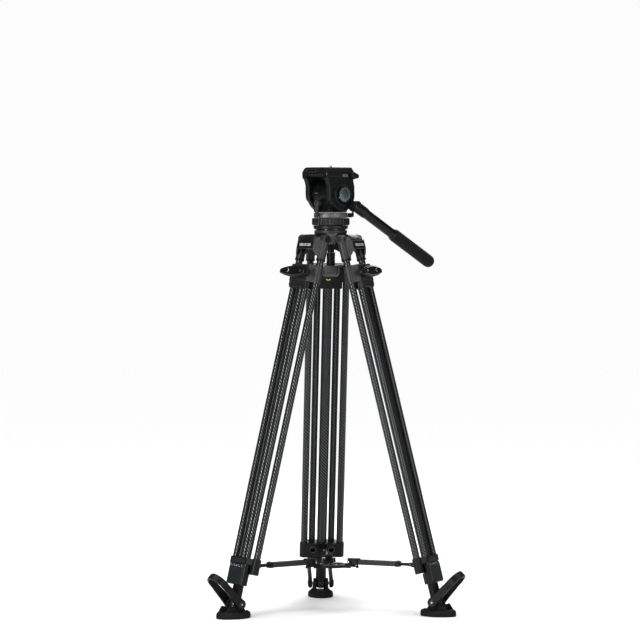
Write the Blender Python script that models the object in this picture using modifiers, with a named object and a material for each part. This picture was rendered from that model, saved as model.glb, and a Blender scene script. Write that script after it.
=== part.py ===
"""A three-legged carbon fibre video tripod with a fluid head, standing at its collapsed height.

Lengths are in millimetres and become metres through MM where a shape is made. The axis of the
column is Z, and the floor is Z = 0. Three frames are used:
  the body frame: +Z up, rear leg towards +Y,
  a leg frame: origin beside the leg's hinge, +X across the leg, +Y outward, +Z up along the leg,
  the head frame: +X towards the drag dial, +Y towards the pan bar (the operator), +Z up.
"""
import math

import bmesh
import bpy
from mathutils import Matrix, Vector

MM = 0.001
GAP = 0.3
# Bores have flats, which come nearer to a tube than their corners do.
BORE_GAP = 0.8

# Legs
LEG_AZIMUTHS = (90, 210, 330)
LEG_TILT = 14.6
HINGE_RADIUS, HINGE_HEIGHT = 34.5, 928
FACE_Y = 24.5
TUBE_PLANE = 15.5
OUTER_X, OUTER_Y, OUTER_R = 46, 0, 8.5
INNER_X, INNER_Y, INNER_R = 25, 14.5, 8.25
CENTRE_Y, CENTRE_R = 6, 12.25
TUBE_WALL = 1.5
TUBE_SIDES = 12
OUTER_TOP, OUTER_END = -36, -844
INNER_TOP, INNER_END = -79, -869
CENTRE_TOP, CENTRE_END = -81, -938
COLLAR_TOP, COLLAR_END, COLLAR_SKIRT_END = -70, -114, -130
LOW_COLLAR_TOP, LOW_COLLAR_STEP, LOW_COLLAR_END = -813, -830.4, -852
SLEEVE_END = -882
ANKLE = -928
LUG_Y, LUG_Z = -30, -827
PAD_X, PAD_Y, PAD_MIDDLE = 32.445, 46, 4
PADDLE_Y, PADDLE_Z, PADDLE_HALF = 30, -81, 60

# Crown, bowl and levelling ball
RIM_HEIGHT, RIM_R = 954, 41
CROWN_FLOOR = 920
BALL_HEIGHT, BALL_R = 962, 37.5
TONGUE_X, EAR_X = 13.4, 20.8
KNOB_TOP, KNOB_END, KNOB_SIDE = 865, 837, 41
STEM_TOP, STEM_R = 897, 11

# Spreader
HUB_R, ARM_HEIGHT = 55, 124

# Head
HEAD_AZIMUTH = -50
FLANGE_TOP, RING_TOP, BASE_TOP = 964.7, 984, 997.5
TILT_HEIGHT = 1042
DRUM_R, DRUM_X = 36.5, 29.5
CHEEK_R, CHEEK_X = 42, 43.5
PLATE_TOP = 1110
BUTTON_Y, BUTTON_Z = 20, 1089
ROSETTE = (57.5, 31, 1013)
BAR_DROP = 28
BAR_R, GRIP_R = 10.2, 16
BAR_END, GRIP_START, GRIP_END = 176, 150, 312

# The middle of the whole object's outline lies this far behind the column.
MIDDLE_Y = 84.75


def clear_scene():
    for thing in list(bpy.data.objects):
        bpy.data.objects.remove(thing, do_unlink=True)


def collection(name):
    made = bpy.data.collections.new(name)
    bpy.context.scene.collection.children.link(made)
    return made


clear_scene()
PARTS = collection("tripod_with_fluid_head")
CUTTERS = collection("cutters")
BODY = Matrix.Translation((0, -MIDDLE_Y * MM, 0))
HEAD = BODY @ Matrix.Rotation(math.radians(HEAD_AZIMUTH), 4, "Z")


def leg_frame(azimuth):
    turn = Matrix.Rotation(math.radians(azimuth - 90), 4, "Z")
    hinge = Matrix.Translation((0, HINGE_RADIUS * MM, HINGE_HEIGHT * MM))
    tilt = Matrix.Rotation(math.radians(LEG_TILT), 4, "X")
    return BODY @ turn @ hinge @ tilt @ Matrix.Translation((0, TUBE_PLANE * MM, 0))


def material(name, colour, metallic=0.0, roughness=0.5):
    made = bpy.data.materials.new(name)
    made.use_nodes = True
    shader = made.node_tree.nodes["Principled BSDF"]
    shader.inputs["Base Color"].default_value = (*colour, 1)
    shader.inputs["Metallic"].default_value = metallic
    shader.inputs["Roughness"].default_value = roughness
    made.diffuse_color = (*colour, 1)
    return made


# Shapes: each makes a mesh object among the cutters, in millimetres scaled to metres.
def shape(mesh):
    made = bpy.data.objects.new("shape", mesh)
    made.hide_render = True
    made.display_type = "WIRE"
    CUTTERS.objects.link(made)
    return made


def finish(work, frame=None):
    mesh = bpy.data.meshes.new("shape")
    bmesh.ops.transform(work, matrix=Matrix.Scale(MM, 4) @ (frame or Matrix()), verts=work.verts)
    work.to_mesh(mesh)
    work.free()
    return shape(mesh)


def box(low, high, chamfer=0, frame=None):
    """A box between two corners, with its edges chamfered."""
    low, high = Vector(low), Vector(high)
    work = bmesh.new()
    bmesh.ops.create_cube(work, size=1)
    size = high - low
    bmesh.ops.transform(
        work, matrix=Matrix.Translation((low + high) / 2) @ Matrix.Diagonal((*size, 1)), verts=work.verts
    )
    if chamfer:
        bmesh.ops.bevel(work, geom=work.edges, offset=chamfer, segments=1, affect="EDGES")
    return finish(work, frame)


def rod(start, end, radius, end_radius=None, sides=12):
    """A cylinder or a cone between two points."""
    start, end = Vector(start), Vector(end)
    work = bmesh.new()
    radius_end = radius if end_radius is None else end_radius
    length = (end - start).length
    bmesh.ops.create_cone(
        work, cap_ends=True, segments=sides, radius1=radius, radius2=radius_end, depth=length
    )
    turn = Vector((0, 0, 1)).rotation_difference(end - start).to_matrix().to_4x4()
    return finish(work, Matrix.Translation((start + end) / 2) @ turn)


def across(y, z, low, high, radius, sides=32, frame=None):
    """A cylinder parallel to X, from low to high."""
    made = rod((low, y, z), (high, y, z), radius, sides=sides)
    made.data.transform(frame or Matrix())
    return made


def evaluated(source):
    """The mesh of a curve or of an object with modifiers, as a shape; the source goes."""
    bpy.context.view_layer.update()
    graph = bpy.context.evaluated_depsgraph_get()
    mesh = bpy.data.meshes.new_from_object(source.evaluated_get(graph))
    bpy.data.objects.remove(source, do_unlink=True)
    work = bmesh.new()
    work.from_mesh(mesh)
    bmesh.ops.remove_doubles(work, verts=work.verts, dist=1e-6)
    bmesh.ops.recalc_face_normals(work, faces=work.faces)
    work.to_mesh(mesh)
    work.free()
    return shape(mesh)


def outline(points, low, high, plane="XZ"):
    """A flat outline in the named plane, extruded from low to high along the third axis."""
    curve = bpy.data.curves.new("outline", "CURVE")
    curve.dimensions = "2D"
    curve.fill_mode = "BOTH"
    curve.extrude = (high - low) / 2 * MM
    spline = curve.splines.new("POLY")
    spline.points.add(len(points) - 1)
    for point, (a, b) in zip(spline.points, points):
        point.co = (a * MM, b * MM, 0, 1)
    spline.use_cyclic_u = True
    source = bpy.data.objects.new("outline", curve)
    CUTTERS.objects.link(source)
    made = evaluated(source)
    lift = Matrix.Translation((0, 0, (low + high) / 2 * MM))
    turns = {
        "XY": Matrix(),
        "XZ": Matrix(((1, 0, 0, 0), (0, 0, -1, 0), (0, 1, 0, 0), (0, 0, 0, 1))),
        "YZ": Matrix(((0, 0, 1, 0), (1, 0, 0, 0), (0, 1, 0, 0), (0, 0, 0, 1))),
    }
    if plane == "XZ":
        lift = Matrix.Translation((0, 0, -(low + high) / 2 * MM))
    made.data.transform(turns[plane] @ lift)
    return made


def turned(profile, sides=48, closed=False):
    """A profile of (radius, height) points, listed from the top down, turned about Z."""
    work = bmesh.new()
    points = [work.verts.new((r * MM, 0, z * MM)) for r, z in profile]
    for a, b in zip(points, points[1:] + points[:1] if closed else points[1:]):
        work.edges.new((a, b))
    mesh = bpy.data.meshes.new("profile")
    work.to_mesh(mesh)
    work.free()
    source = bpy.data.objects.new("profile", mesh)
    CUTTERS.objects.link(source)
    screw = source.modifiers.new("Screw", "SCREW")
    screw.steps = screw.render_steps = sides
    screw.use_merge_vertices = True
    screw.merge_threshold = 1e-6
    return evaluated(source)


def arc(centre, radius, start, end, steps):
    """Points on an arc from one angle to another, in degrees."""
    angles = [math.radians(start + (end - start) * i / steps) for i in range(steps + 1)]
    return [(centre[0] + radius * math.cos(a), centre[1] + radius * math.sin(a)) for a in angles]


def node(name, finish_material, frame, origin, body, add=(), cut=(), last=()):
    """Makes a shape into a named piece whose origin is on its joint's axis.

    Shapes in add are joined, then those in cut are taken away, then those in last are joined.
    """
    place = frame @ Matrix.Translation(Vector(origin) * MM)
    back = Matrix.Translation(-Vector(origin) * MM)
    for part in (body, *add, *cut, *last):
        part.data.transform(back)
        part.matrix_world = place
    body.name = name
    body.data.name = name
    body.hide_render = False
    body.display_type = "TEXTURED"
    CUTTERS.objects.unlink(body)
    PARTS.objects.link(body)
    for operation, others in (("UNION", add), ("DIFFERENCE", cut), ("UNION", last)):
        for other in others:
            step = body.modifiers.new(operation.title(), "BOOLEAN")
            step.operation = operation
            step.solver = "EXACT"
            step.object = other
    body.data.materials.clear()
    body.data.materials.append(finish_material)
    body.data.shade_smooth()
    body.data.set_sharp_from_angle(angle=math.radians(35))
    return body


CARBON = material("carbon", (0.02, 0.021, 0.022), 0.0, 0.35)
CAST = material("satin black casting", (0.035, 0.037, 0.04), 0.6, 0.45)
COVER = material("blue grey cover", (0.03, 0.036, 0.042), 0.1, 0.45)
PLASTIC = material("black plastic", (0.015, 0.015, 0.016), 0.0, 0.4)
BRIGHT = material("machined grey", (0.22, 0.22, 0.23), 1.0, 0.3)
RUBBER = material("matte rubber", (0.02, 0.02, 0.02), 0.0, 0.85)
STEEL = material("steel", (0.5, 0.5, 0.5), 1.0, 0.25)
DIAL = material("blue grey dial", (0.12, 0.15, 0.18), 0.5, 0.35)


# Crown and levelling
def ball_arc(radius, top, end_radius, steps):
    """Profile points down a ball from a height to a radius."""
    start = math.degrees(math.asin((top - BALL_HEIGHT) / radius))
    end = -math.degrees(math.acos(end_radius / radius))
    return arc((0, BALL_HEIGHT), radius, start, end, steps)


def bowl_hollow():
    """The ball's seat and the opening under it, as a cutter."""
    seat = ball_arc(BALL_R + 0.8, RIM_HEIGHT + 2, 19, 5)
    floor = CROWN_FLOOR - 5
    return turned([(0, RIM_HEIGHT + 2), *seat, (19, floor), (0, floor)], 24)


def add_crown():
    profile = [(0, RIM_HEIGHT), (RIM_R, RIM_HEIGHT), (RIM_R, 947), (39, 943.5), (33.5, 936)]
    body = turned([*profile, (28.5, 929), (27, CROWN_FLOOR), (0, CROWN_FLOOR)], 24)
    joined, pins, cuts = [], [], [bowl_hollow()]
    for azimuth in LEG_AZIMUTHS:
        turn = Matrix.Rotation(math.radians(azimuth - 90), 4, "Z")
        half_turn = Matrix.Rotation(math.radians(azimuth + 90), 4, "Z")
        joined.append(box((-9, 22, 917.5), (9, 40.4, 947), 1.2, half_turn))
        low, high = (-TONGUE_X, 22, CROWN_FLOOR + 0.4), (TONGUE_X, HINGE_RADIUS, 936.2)
        joined.append(box(low, high, 0, turn))
        joined.append(across(HINGE_RADIUS, HINGE_HEIGHT, 0.1 - TONGUE_X, TONGUE_X - 0.1, 8.8, 14, turn))
        pins.append(across(HINGE_RADIUS, HINGE_HEIGHT, -20.2, 20.2, 4, 10, turn))
        for side in (-1, 1):
            near, far = side * (TONGUE_X + 0.05), side * (EAR_X + 0.6)
            cuts.append(across(HINGE_RADIUS, HINGE_HEIGHT, near, far, 11.7, 14, turn))
    node("crown", CAST, BODY, (0, 0, CROWN_FLOOR), body, joined, cuts, pins)


def add_half_ball():
    ball = ball_arc(BALL_R, 957.2, 8.5, 5)
    profile = [(0, RING_TOP - GAP), (30, RING_TOP - GAP), (30, FLANGE_TOP), (43.5, FLANGE_TOP)]
    profile += [(43.5, 958.2), (42.5, 957.2)] + ball + [(8.5, STEM_TOP + GAP), (6, STEM_TOP + GAP)]
    profile += [(6, 873), (0, 873)]
    node("half_ball", CAST, BODY, (0, 0, BALL_HEIGHT), turned(profile, 24))


def add_tie_down_knob():
    half, round_r = KNOB_SIDE / 2, 8
    corners = []
    for k in range(4):
        a = math.radians(90 * k + 45)
        at = math.sqrt(2) * (half - round_r)
        corners += arc((at * math.cos(a), at * math.sin(a)), round_r, 90 * k + 8, 90 * k + 82, 4)
    body = outline(corners, KNOB_END, KNOB_TOP, "XY")
    body.data.transform(Matrix.Rotation(math.radians(-12), 4, "Z"))
    stem = turned([(0, STEM_TOP), (STEM_R, STEM_TOP), (STEM_R, KNOB_TOP - 4), (0, KNOB_TOP - 4)], 24)
    hole = rod((0, 0, 871), (0, 0, STEM_TOP + 2), 6 + GAP, sides=18)
    node("tie_down_knob", PLASTIC, BODY, (0, 0, KNOB_TOP), body, [stem], [hole])


# Legs
def both_sides(half):
    """A closed outline from the points on its +X side, listed in order."""
    return half + [(-x, y) for x, y in reversed(half)]


def yoke(n, frame):
    crest = [(20, 11), (47, 0), (55, -12), (56.5, -50)]
    body = outline(both_sides(crest), -5, FACE_Y)
    room = [(34, 5.2), (34, 9.5), (22, 16.5)]
    window = box((-25, 10, -60), (25, 30, -30))
    arch = [(34, -60), *[(x, -50 + 23 * math.sin(math.acos(x / 36))) for x in (34, 27, 14)]]
    cut = [outline(both_sides(room), -60, -12, "XY"), window, outline(both_sides(arch), -10, 6)]
    add = []
    for side in (-1, 1):
        x = side * OUTER_X
        corner = [(28, 30), (28, FACE_Y - 0.5), (50, 8.5), (56.4, 3.5), (56.4, -10), (70, -10), (70, 30)]
        cut.append(outline([(side * x, y) for x, y in corner], -60, 20, "XY"))
        add.append(rod((x, 0, -57), (x, 0, -6), 11, sides=16))
        inner, outer = side * (TONGUE_X + 0.45), side * EAR_X
        add.append(rod((inner, -TUBE_PLANE, 0), (outer, -TUBE_PLANE, 0), 11))
        low, high = sorted((inner, outer))
        add.append(box((low, -TUBE_PLANE, -10.9), (high, 2, 10.9)))
        cut.append(rod((x, 0, -60), (x, 0, OUTER_TOP + 2), OUTER_R + BORE_GAP, sides=12))
    cut.append(rod((-24, -TUBE_PLANE, 0), (24, -TUBE_PLANE, 0), 4.5, sides=8))
    node(f"leg_{n}_yoke", CAST, frame, (0, -TUBE_PLANE, 0), body, add, cut)


def tube(name, frame, x, y, top, end, radius):
    profile = [(radius - TUBE_WALL, top), (radius, top), (radius, end), (radius - TUBE_WALL, end)]
    body = turned(profile, TUBE_SIDES, closed=True)
    body.data.transform(Matrix.Translation((x * MM, y * MM, 0)))
    return body, (name, CARBON, frame, (x, y, top))


def tubes(n, frame):
    for side, label in ((-1, "a"), (1, "b")):
        body, rest = tube(
            f"leg_{n}_outer_tube_{label}", frame, side * OUTER_X, OUTER_Y, OUTER_TOP, OUTER_END, OUTER_R
        )
        node(*rest, body)
        body, rest = tube(
            f"leg_{n}_inner_tube_{label}", frame, side * INNER_X, INNER_Y, INNER_TOP, INNER_END, INNER_R
        )
        node(*rest, body)
    body, rest = tube(f"leg_{n}_centre_tube", frame, 0, CENTRE_Y, CENTRE_TOP, CENTRE_END, CENTRE_R)
    node(*rest, body, cut=[rod((-20, CENTRE_Y, ANKLE), (20, CENTRE_Y, ANKLE), 4.5, sides=8)])


def bore(x, y, heights, radius, sides=12):
    """A cutter for one tube, with room round the tube."""
    top, end = heights
    return rod((x, y, top), (x, y, end), radius + BORE_GAP, sides=sides)


def tube_bores(outer, inner, centre):
    """Bores for the tubes, each between two heights; outer is None where the outer tubes end."""
    bores = [bore(0, CENTRE_Y, centre, CENTRE_R, 16)]
    for side in (-1, 1):
        if outer:
            bores.append(bore(side * OUTER_X, OUTER_Y, outer, OUTER_R))
        bores.append(bore(side * INNER_X, INNER_Y, inner, INNER_R))
    return bores


def upper_collar(n, frame):
    section = [(56.5, -10), (56.5, 3), (51, 9), (30, FACE_Y)]
    body = outline(both_sides(section), COLLAR_END, COLLAR_TOP, "XY")
    skirt = box((-36, -9, COLLAR_SKIRT_END), (36, 24, COLLAR_END + 3), 1.5)
    bores = tube_bores((-65, -120), (-76, -135), (-78, -135))
    node(f"leg_{n}_upper_collar", CAST, frame, (0, 0, COLLAR_TOP), body, [skirt], bores)


def paddle(n, frame):
    radius = (PADDLE_HALF**2 + 14**2) / 28
    middle, half = -92, math.degrees(math.asin(PADDLE_HALF / radius))
    upper = arc((0, middle + 14 - radius), radius, 90 - half, 90 + half, 8)
    lower = arc((0, middle - 14 + radius), radius, 270 - half, 270 + half, 8)
    body = outline(upper + lower[1:-1], 30, 46)
    root = box((-13, 24.9, -99), (13, 33, -84), 1)
    node(f"leg_{n}_paddle", PLASTIC, frame, (0, PADDLE_Y, PADDLE_Z), body, [root])


def lower_collar(n, frame):
    section = [(56, -12), (56, 3), (51, 9), (30, FACE_Y - 0.5)]
    body = outline(both_sides(section), LOW_COLLAR_STEP, LOW_COLLAR_TOP, "XY")
    web = box((-52, -12, LOW_COLLAR_END), (52, -1.4, LOW_COLLAR_STEP + 4), 0)
    add, cut = [web], tube_bores((-790, -847), (-790, -857), (-790, -857))
    for side in (-1, 1):
        add.append(rod((side * OUTER_X, 0, LOW_COLLAR_END), (side * OUTER_X, 0, LOW_COLLAR_TOP - 5), 11.5, sides=12))
        low, high = sorted((side * 7.6, side * 11.6))
        add.append(box((low, LUG_Y, LUG_Z - 6), (high, -10, LUG_Z + 6)))
        add.append(rod((side * 7.6, LUG_Y, LUG_Z), (side * 11.6, LUG_Y, LUG_Z), 6, sides=12))
        cut.append(rod((side * 24, -20, -830), (side * 24, 0, -830), 7.5, sides=14))
    add.append(rod((-11, LUG_Y, LUG_Z), (11, LUG_Y, LUG_Z), 2.6, sides=8))
    node(f"leg_{n}_spreader_collar", CAST, frame, (0, 0, LOW_COLLAR_TOP), body, add, cut)


def sleeve(n, frame):
    top = LOW_COLLAR_STEP - 0.5
    profile = [(-1, top), (25, top), (25, SLEEVE_END), (-9.5, SLEEVE_END)]
    profile += [(-9.5, LOW_COLLAR_END - 0.5), (-1, LOW_COLLAR_END - 0.5)]
    body = outline(profile, -33.8, 33.8, "YZ")
    bores = tube_bores(None, (-825, -871), (-810, -890))
    node(f"leg_{n}_sleeve", COVER, frame, (0, CENTRE_Y, SLEEVE_END), body, [], bores)


def ankle_frame(azimuth):
    """Upright frame at a leg's ankle: +X across the leg, +Y outward."""
    at = leg_frame(azimuth) @ Vector((0, CENTRE_Y * MM, ANKLE * MM))
    return Matrix.Translation(at) @ Matrix.Rotation(math.radians(azimuth - 90), 4, "Z"), at.z / MM


def rubber_foot(n, azimuth):
    frame, height = ankle_frame(azimuth)
    floor, top = -height, -height + 16
    turns = [math.tau * i / 20 for i in range(20)]
    pad = [(PAD_X * math.cos(a), PAD_MIDDLE + PAD_Y * math.sin(a)) for a in turns]
    body = outline(pad, floor, top - 2, "XY")
    small = [(x * 0.93, PAD_MIDDLE + (y - PAD_MIDDLE) * 0.95) for x, y in pad]
    add = [outline(small, top - 4, top, "XY")]
    cheek = [(-26, top - 3), (-14, top + 8), (-13, 0)] + arc((0, 0), 13, 165, 15, 5)
    cheek += [(13, 0), (14, top + 8), (28, top - 3)]
    for side in (-1, 1):
        low, high = sorted((side * 12.9, side * 19))
        add.append(outline(cheek, low, high, "YZ"))
        add.append(rod((side * 18, 0, 0), (side * 33.5, 0, 0), 4, sides=10))
    add.append(rod((-16, 0, 0), (16, 0, 0), 4, sides=10))
    rib = [(15.5, top - 2), (15.5, top + 9), (19, top + 9), (36, top - 2)]
    add.append(outline(rib, -14, -10, "YZ"))
    add.append(outline(rib, 10, 14, "YZ"))
    node(f"leg_{n}_rubber_foot", RUBBER, frame, (0, 0, 0), body, add)


def foot_bail(n, azimuth):
    frame, height = ankle_frame(azimuth)
    frame = frame @ Matrix.Rotation(math.radians(-46), 4, "X")
    outer_x, inner_x, bend = 29.5, 23, 78
    outside = arc((0, bend), outer_x, 8, 172, 8)
    inside = arc((0, bend), inner_x, 172, 8, 8)
    loop = [(outer_x, 0), (outer_x, bend), *outside, (-outer_x, bend), (-outer_x, 0)]
    loop += [(-inner_x, 0), (-inner_x, bend), *inside, (inner_x, bend), (inner_x, 0)]
    body = outline(loop, -9, 9)
    add, cut = [], []
    for side in (-1, 1):
        add.append(rod((side * (inner_x - 0.3), 0, 0), (side * 33.8, 0, 0), 12.5, sides=16))
    cut.append(rod((-40, 0, 0), (40, 0, 0), 4.5, sides=8))
    node(f"leg_{n}_foot_bail", PLASTIC, frame, (0, 0, 0), body, add, cut)


# Spreader
def spreader_frame(azimuth):
    """Upright frame at the column's axis at the arms' height, +Y out along an arm."""
    lift = Matrix.Translation((0, 0, ARM_HEIGHT * MM))
    return BODY @ Matrix.Rotation(math.radians(azimuth - 90), 4, "Z") @ lift


def lug_radius():
    tilt = math.radians(LEG_TILT)
    reach = HINGE_RADIUS + (TUBE_PLANE + LUG_Y) * math.cos(tilt) - LUG_Z * math.sin(tilt)
    drop = HINGE_HEIGHT + (TUBE_PLANE + LUG_Y) * math.sin(tilt) + LUG_Z * math.cos(tilt)
    return reach, drop - ARM_HEIGHT


def spreader_arm(n, azimuth):
    frame = spreader_frame(azimuth)
    reach, _ = lug_radius()
    end = reach - 38
    body = box((-7, HUB_R + 14, -6.5), (7, end, 6.5), 1.2)
    half = [(5, HUB_R - 7), (11.5, HUB_R), (11.5, HUB_R + 16), (8, HUB_R + 24)]
    block = outline(both_sides(half), -7, 9, "XY")
    pin = rod((-17, HUB_R, 0), (17, HUB_R, 0), 3, sides=10)
    channel = box((-4.6, HUB_R + 30, -4.1), (4.6, end + 10, 4.1))
    node(f"spreader_arm_{n}", PLASTIC, frame, (0, HUB_R, 0), body, [block, pin], [channel])


def spreader_rod(n, azimuth):
    frame = spreader_frame(azimuth)
    reach, rise = lug_radius()
    body = box((-4.2, HUB_R + 60, -3.7), (4.2, reach - 6, 3.7))
    eye = rod((-7.2, reach, rise), (7.2, reach, rise), 5.4, sides=12)
    neck = box((-7.2, reach - 14, rise - 4.4), (7.2, reach, rise + 4.4))
    hole = rod((-12, reach, rise), (12, reach, rise), 3.0, sides=10)
    node(f"spreader_rod_{n}", PLASTIC, frame, (0, reach, rise), body, [neck, eye], [hole])


def spreader_hub():
    plate = turned([(0, -8.8), (46, -8.8), (46, -15), (0, -15)], 24)
    ears, slots = [], []
    seat = -3.3
    ear = [(28, -15), (61.5, -15), (61.5, 4), (58.3, 4), (58.3, seat), (48, seat), (44, -8.8), (28, -8.8)]
    for azimuth in LEG_AZIMUTHS:
        turn = Matrix.Rotation(math.radians(azimuth - 90), 4, "Z")
        for low in (-16.8, 12.8):
            piece = outline(ear, low, low + 4, "YZ")
            piece.data.transform(turn)
            ears.append(piece)
        slots.append(box((-12.4, 38, -20), (12.4, 70, 10), 0, turn))
    lift = Matrix.Translation((0, 0, ARM_HEIGHT * MM))
    node("spreader_hub", PLASTIC, BODY @ lift, (0, 0, 0), plate, ears, slots)


# Head
def add_pan_base():
    turret = [(0, BASE_TOP), (41, BASE_TOP), (42.5, BASE_TOP - 1.5), (42.5, RING_TOP), (0, RING_TOP)]
    node("pan_base", BRIGHT, HEAD, (0, 0, RING_TOP), turned(turret, 32))


def add_pan_drag_ring():
    low, high = FLANGE_TOP + GAP, RING_TOP - GAP
    profile = [(30.3, high), (46, high), (47, high - 1), (47, low + 1), (46, low), (30.3, low)]
    body = turned(profile, 32, closed=True)
    node("pan_drag_ring", PLASTIC, HEAD, (0, 0, low), body)


def add_tilt_drum():
    body = across(0, TILT_HEIGHT, -DRUM_X, DRUM_X, DRUM_R)
    neck = box((-26, -27, BASE_TOP + GAP), (26, 29, TILT_HEIGHT - 14), 2)
    stub = across(0, TILT_HEIGHT, -CHEEK_X, CHEEK_X + 3, 8, 20)
    boss = rod((0, -41, 1021), (0, -20, 1021), 7)
    node("tilt_drum", CAST, HEAD, (0, 0, TILT_HEIGHT), body, [neck, stub, boss])


def cradle_profile():
    """Section across the platform, with the dovetail that the plate slides in."""
    half = [(31, 1096.3), (29, 1103.3), (32.4, 1103.3), (32.6, 1108.6), (34, 1108.6)]
    half += [(CHEEK_X, 1098), (CHEEK_X, 1080), (29, 1080), (29, 1090)]
    return both_sides(half)


def add_tilt_cradle():
    body = outline(cradle_profile(), -58, 40, "XZ")
    add, cut = [], []
    cheek = [(-56, 1085), (-50, 1073), (-47, 1064), (-47, 1038), (-43, 1027)]
    cheek += arc((0, TILT_HEIGHT), CHEEK_R, 206, 368, 16) + [(40, 1062), (38, 1085)]
    for side in (-1, 1):
        low, high = sorted((side * (DRUM_X + 0.6), side * CHEEK_X))
        add.append(outline(cheek, low, high, "YZ"))
    cut.append(across(0, TILT_HEIGHT, -50, 50, 8.4, 20))
    low = CHEEK_X - 1
    add.append(rod((low, 0, TILT_HEIGHT), (low + 4.5, 0, TILT_HEIGHT), 28.5, sides=32))
    cut.append(across(BUTTON_Y, BUTTON_Z, -CHEEK_X - 2, -CHEEK_X + 5, 5.8, 16))
    node("tilt_cradle", CAST, HEAD, (0, 0, TILT_HEIGHT), body, add, cut)


def add_drag_dial():
    face = CHEEK_X + 3.8
    body = across(0, TILT_HEIGHT, face, face + 8, 16, 32)
    node("drag_dial", DIAL, HEAD, (face, 0, TILT_HEIGHT), body)


def add_slide_plate():
    low = 1096.6
    profile = [(-30.4, low), (-28.7, 1103.6), (-32, 1103.8), (-32, 1109), (-31, PLATE_TOP)]
    profile += [(-x, z) for x, z in reversed(profile)]
    body = outline(profile, -54, 44, "XZ")
    slot = box((-3.6, -26, 1090), (3.6, 26, 1115))
    pocket = box((-8, -34, 1090), (8, 34, 1105))
    node("slide_plate", PLASTIC, HEAD, (0, -5, low), body, [], [slot, pocket])


def add_camera_screw():
    profile = [(0, PLATE_TOP + 5), (2.7, PLATE_TOP + 5), (3.2, PLATE_TOP + 4.4), (3.2, 1104.6)]
    profile += [(7, 1104.6), (7, 1097.2), (0, 1097.2)]
    node("camera_screw", STEEL, HEAD, (0, 0, 1097.2), turned(profile, 18))


def add_plate_lock_knob():
    at, z = 30, 1089
    body = across(at, z, CHEEK_X + GAP, CHEEK_X + 13, 9, 24)
    tab = [(at - 5, z - 6), (at + 11, z - 8), (at + 13.5, z - 2), (at + 12, z + 5), (at - 2, z + 8)]
    wing = outline(tab, CHEEK_X + 5, CHEEK_X + 12, "YZ")
    node("plate_lock_knob", PLASTIC, HEAD, (CHEEK_X, at, z), body, [wing])


def add_plate_release_button():
    body = across(BUTTON_Y, BUTTON_Z, -CHEEK_X - 4.5, -CHEEK_X + 1, 5, 16)
    node("plate_release_button", PLASTIC, HEAD, (-CHEEK_X, BUTTON_Y, BUTTON_Z), body)


def add_tilt_lock_lever():
    y, z = -41.3, 1021
    body = rod((0, y, z), (0, y - 11, z), 8, sides=20)
    handle = outline([(-5, z), (-3.6, z - 37), (3.6, z - 37), (5, z)], y - 11.5, y - 5.5)
    node("tilt_lock_lever", PLASTIC, HEAD, (0, y, z), body, [handle])


def pan_lock_frame():
    return HEAD @ Matrix.Rotation(math.radians(-42), 4, "Z")


def add_pan_lock_lever():
    z = 990.5
    body = rod((0, 42.9, z), (0, 53, z), 5.6)
    arm = box((-3.5, 48, z - 4.2), (3.5, 57.5, z + 2), 0.8)
    tip = box((-3.5, 53, z - 3), (3.5, 57.5, z + 11), 0.8)
    node("pan_lock_lever", PLASTIC, pan_lock_frame(), (0, 42.9, z), body, [arm, tip])


def bar_frame():
    """At the rosette, with +Y along the pan bar."""
    at = Matrix.Translation(Vector(ROSETTE) * MM)
    return HEAD @ at @ Matrix.Rotation(math.radians(-BAR_DROP), 4, "X")


def along(start, end, radius, end_radius=None, sides=24):
    return rod((0, start, 0), (0, end, 0), radius, end_radius, sides)


def add_bar_clamp():
    body = across(0, 0, CHEEK_X + GAP - ROSETTE[0], 9, 12.4, 24)
    socket = along(2, 38, 13.2, 12.2)
    hole = along(14, 60, BAR_R + GAP)
    node("bar_clamp", CAST, bar_frame(), (0, 0, 0), body, [socket], [hole])


def add_pan_bar():
    node("pan_bar", PLASTIC, bar_frame(), (0, 16, 0), along(16, BAR_END, BAR_R))


def add_pan_grip():
    profile = [(0, GRIP_END), (9, GRIP_END - 1.6), (13.6, GRIP_END - 6), (GRIP_R, GRIP_END - 14)]
    profile += [(GRIP_R, GRIP_START + 5), (14, GRIP_START), (0, GRIP_START)]
    body = turned(profile, 20)
    body.data.transform(Matrix.Rotation(math.radians(-90), 4, "X"))
    hole = along(GRIP_START - 5, BAR_END + 2, BAR_R + GAP)
    node("pan_grip", RUBBER, bar_frame(), (0, GRIP_START, 0), body, [], [hole])


def add_head():
    add_pan_base()
    add_pan_drag_ring()
    add_tilt_drum()
    add_tilt_cradle()
    add_drag_dial()
    add_slide_plate()
    add_camera_screw()
    add_plate_lock_knob()
    add_plate_release_button()
    add_tilt_lock_lever()
    add_pan_lock_lever()
    add_bar_clamp()
    add_pan_bar()
    add_pan_grip()


def add_leg(n, azimuth):
    frame = leg_frame(azimuth)
    yoke(n, frame)
    tubes(n, frame)
    upper_collar(n, frame)
    paddle(n, frame)
    lower_collar(n, frame)
    sleeve(n, frame)
    rubber_foot(n, azimuth)
    foot_bail(n, azimuth)
    spreader_arm(n, azimuth)
    spreader_rod(n, azimuth)


add_crown()
add_half_ball()
add_tie_down_knob()
for number, direction in enumerate(LEG_AZIMUTHS, 1):
    add_leg(number, direction)
spreader_hub()
add_head()
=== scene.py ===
"""Visual model of a three-legged carbon fibre video tripod with a fluid head.

Lengths are in millimetres and become metres through MM where a shape is made. Each piece is made
in its own frame: the column's, a leg's, a foot's, a spreader arm's, the head's or the pan bar's.
"""

from math import asin, cos, degrees, pi, radians, sin, sqrt, tau

import bmesh
import bpy
from mathutils import Matrix, Vector


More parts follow.
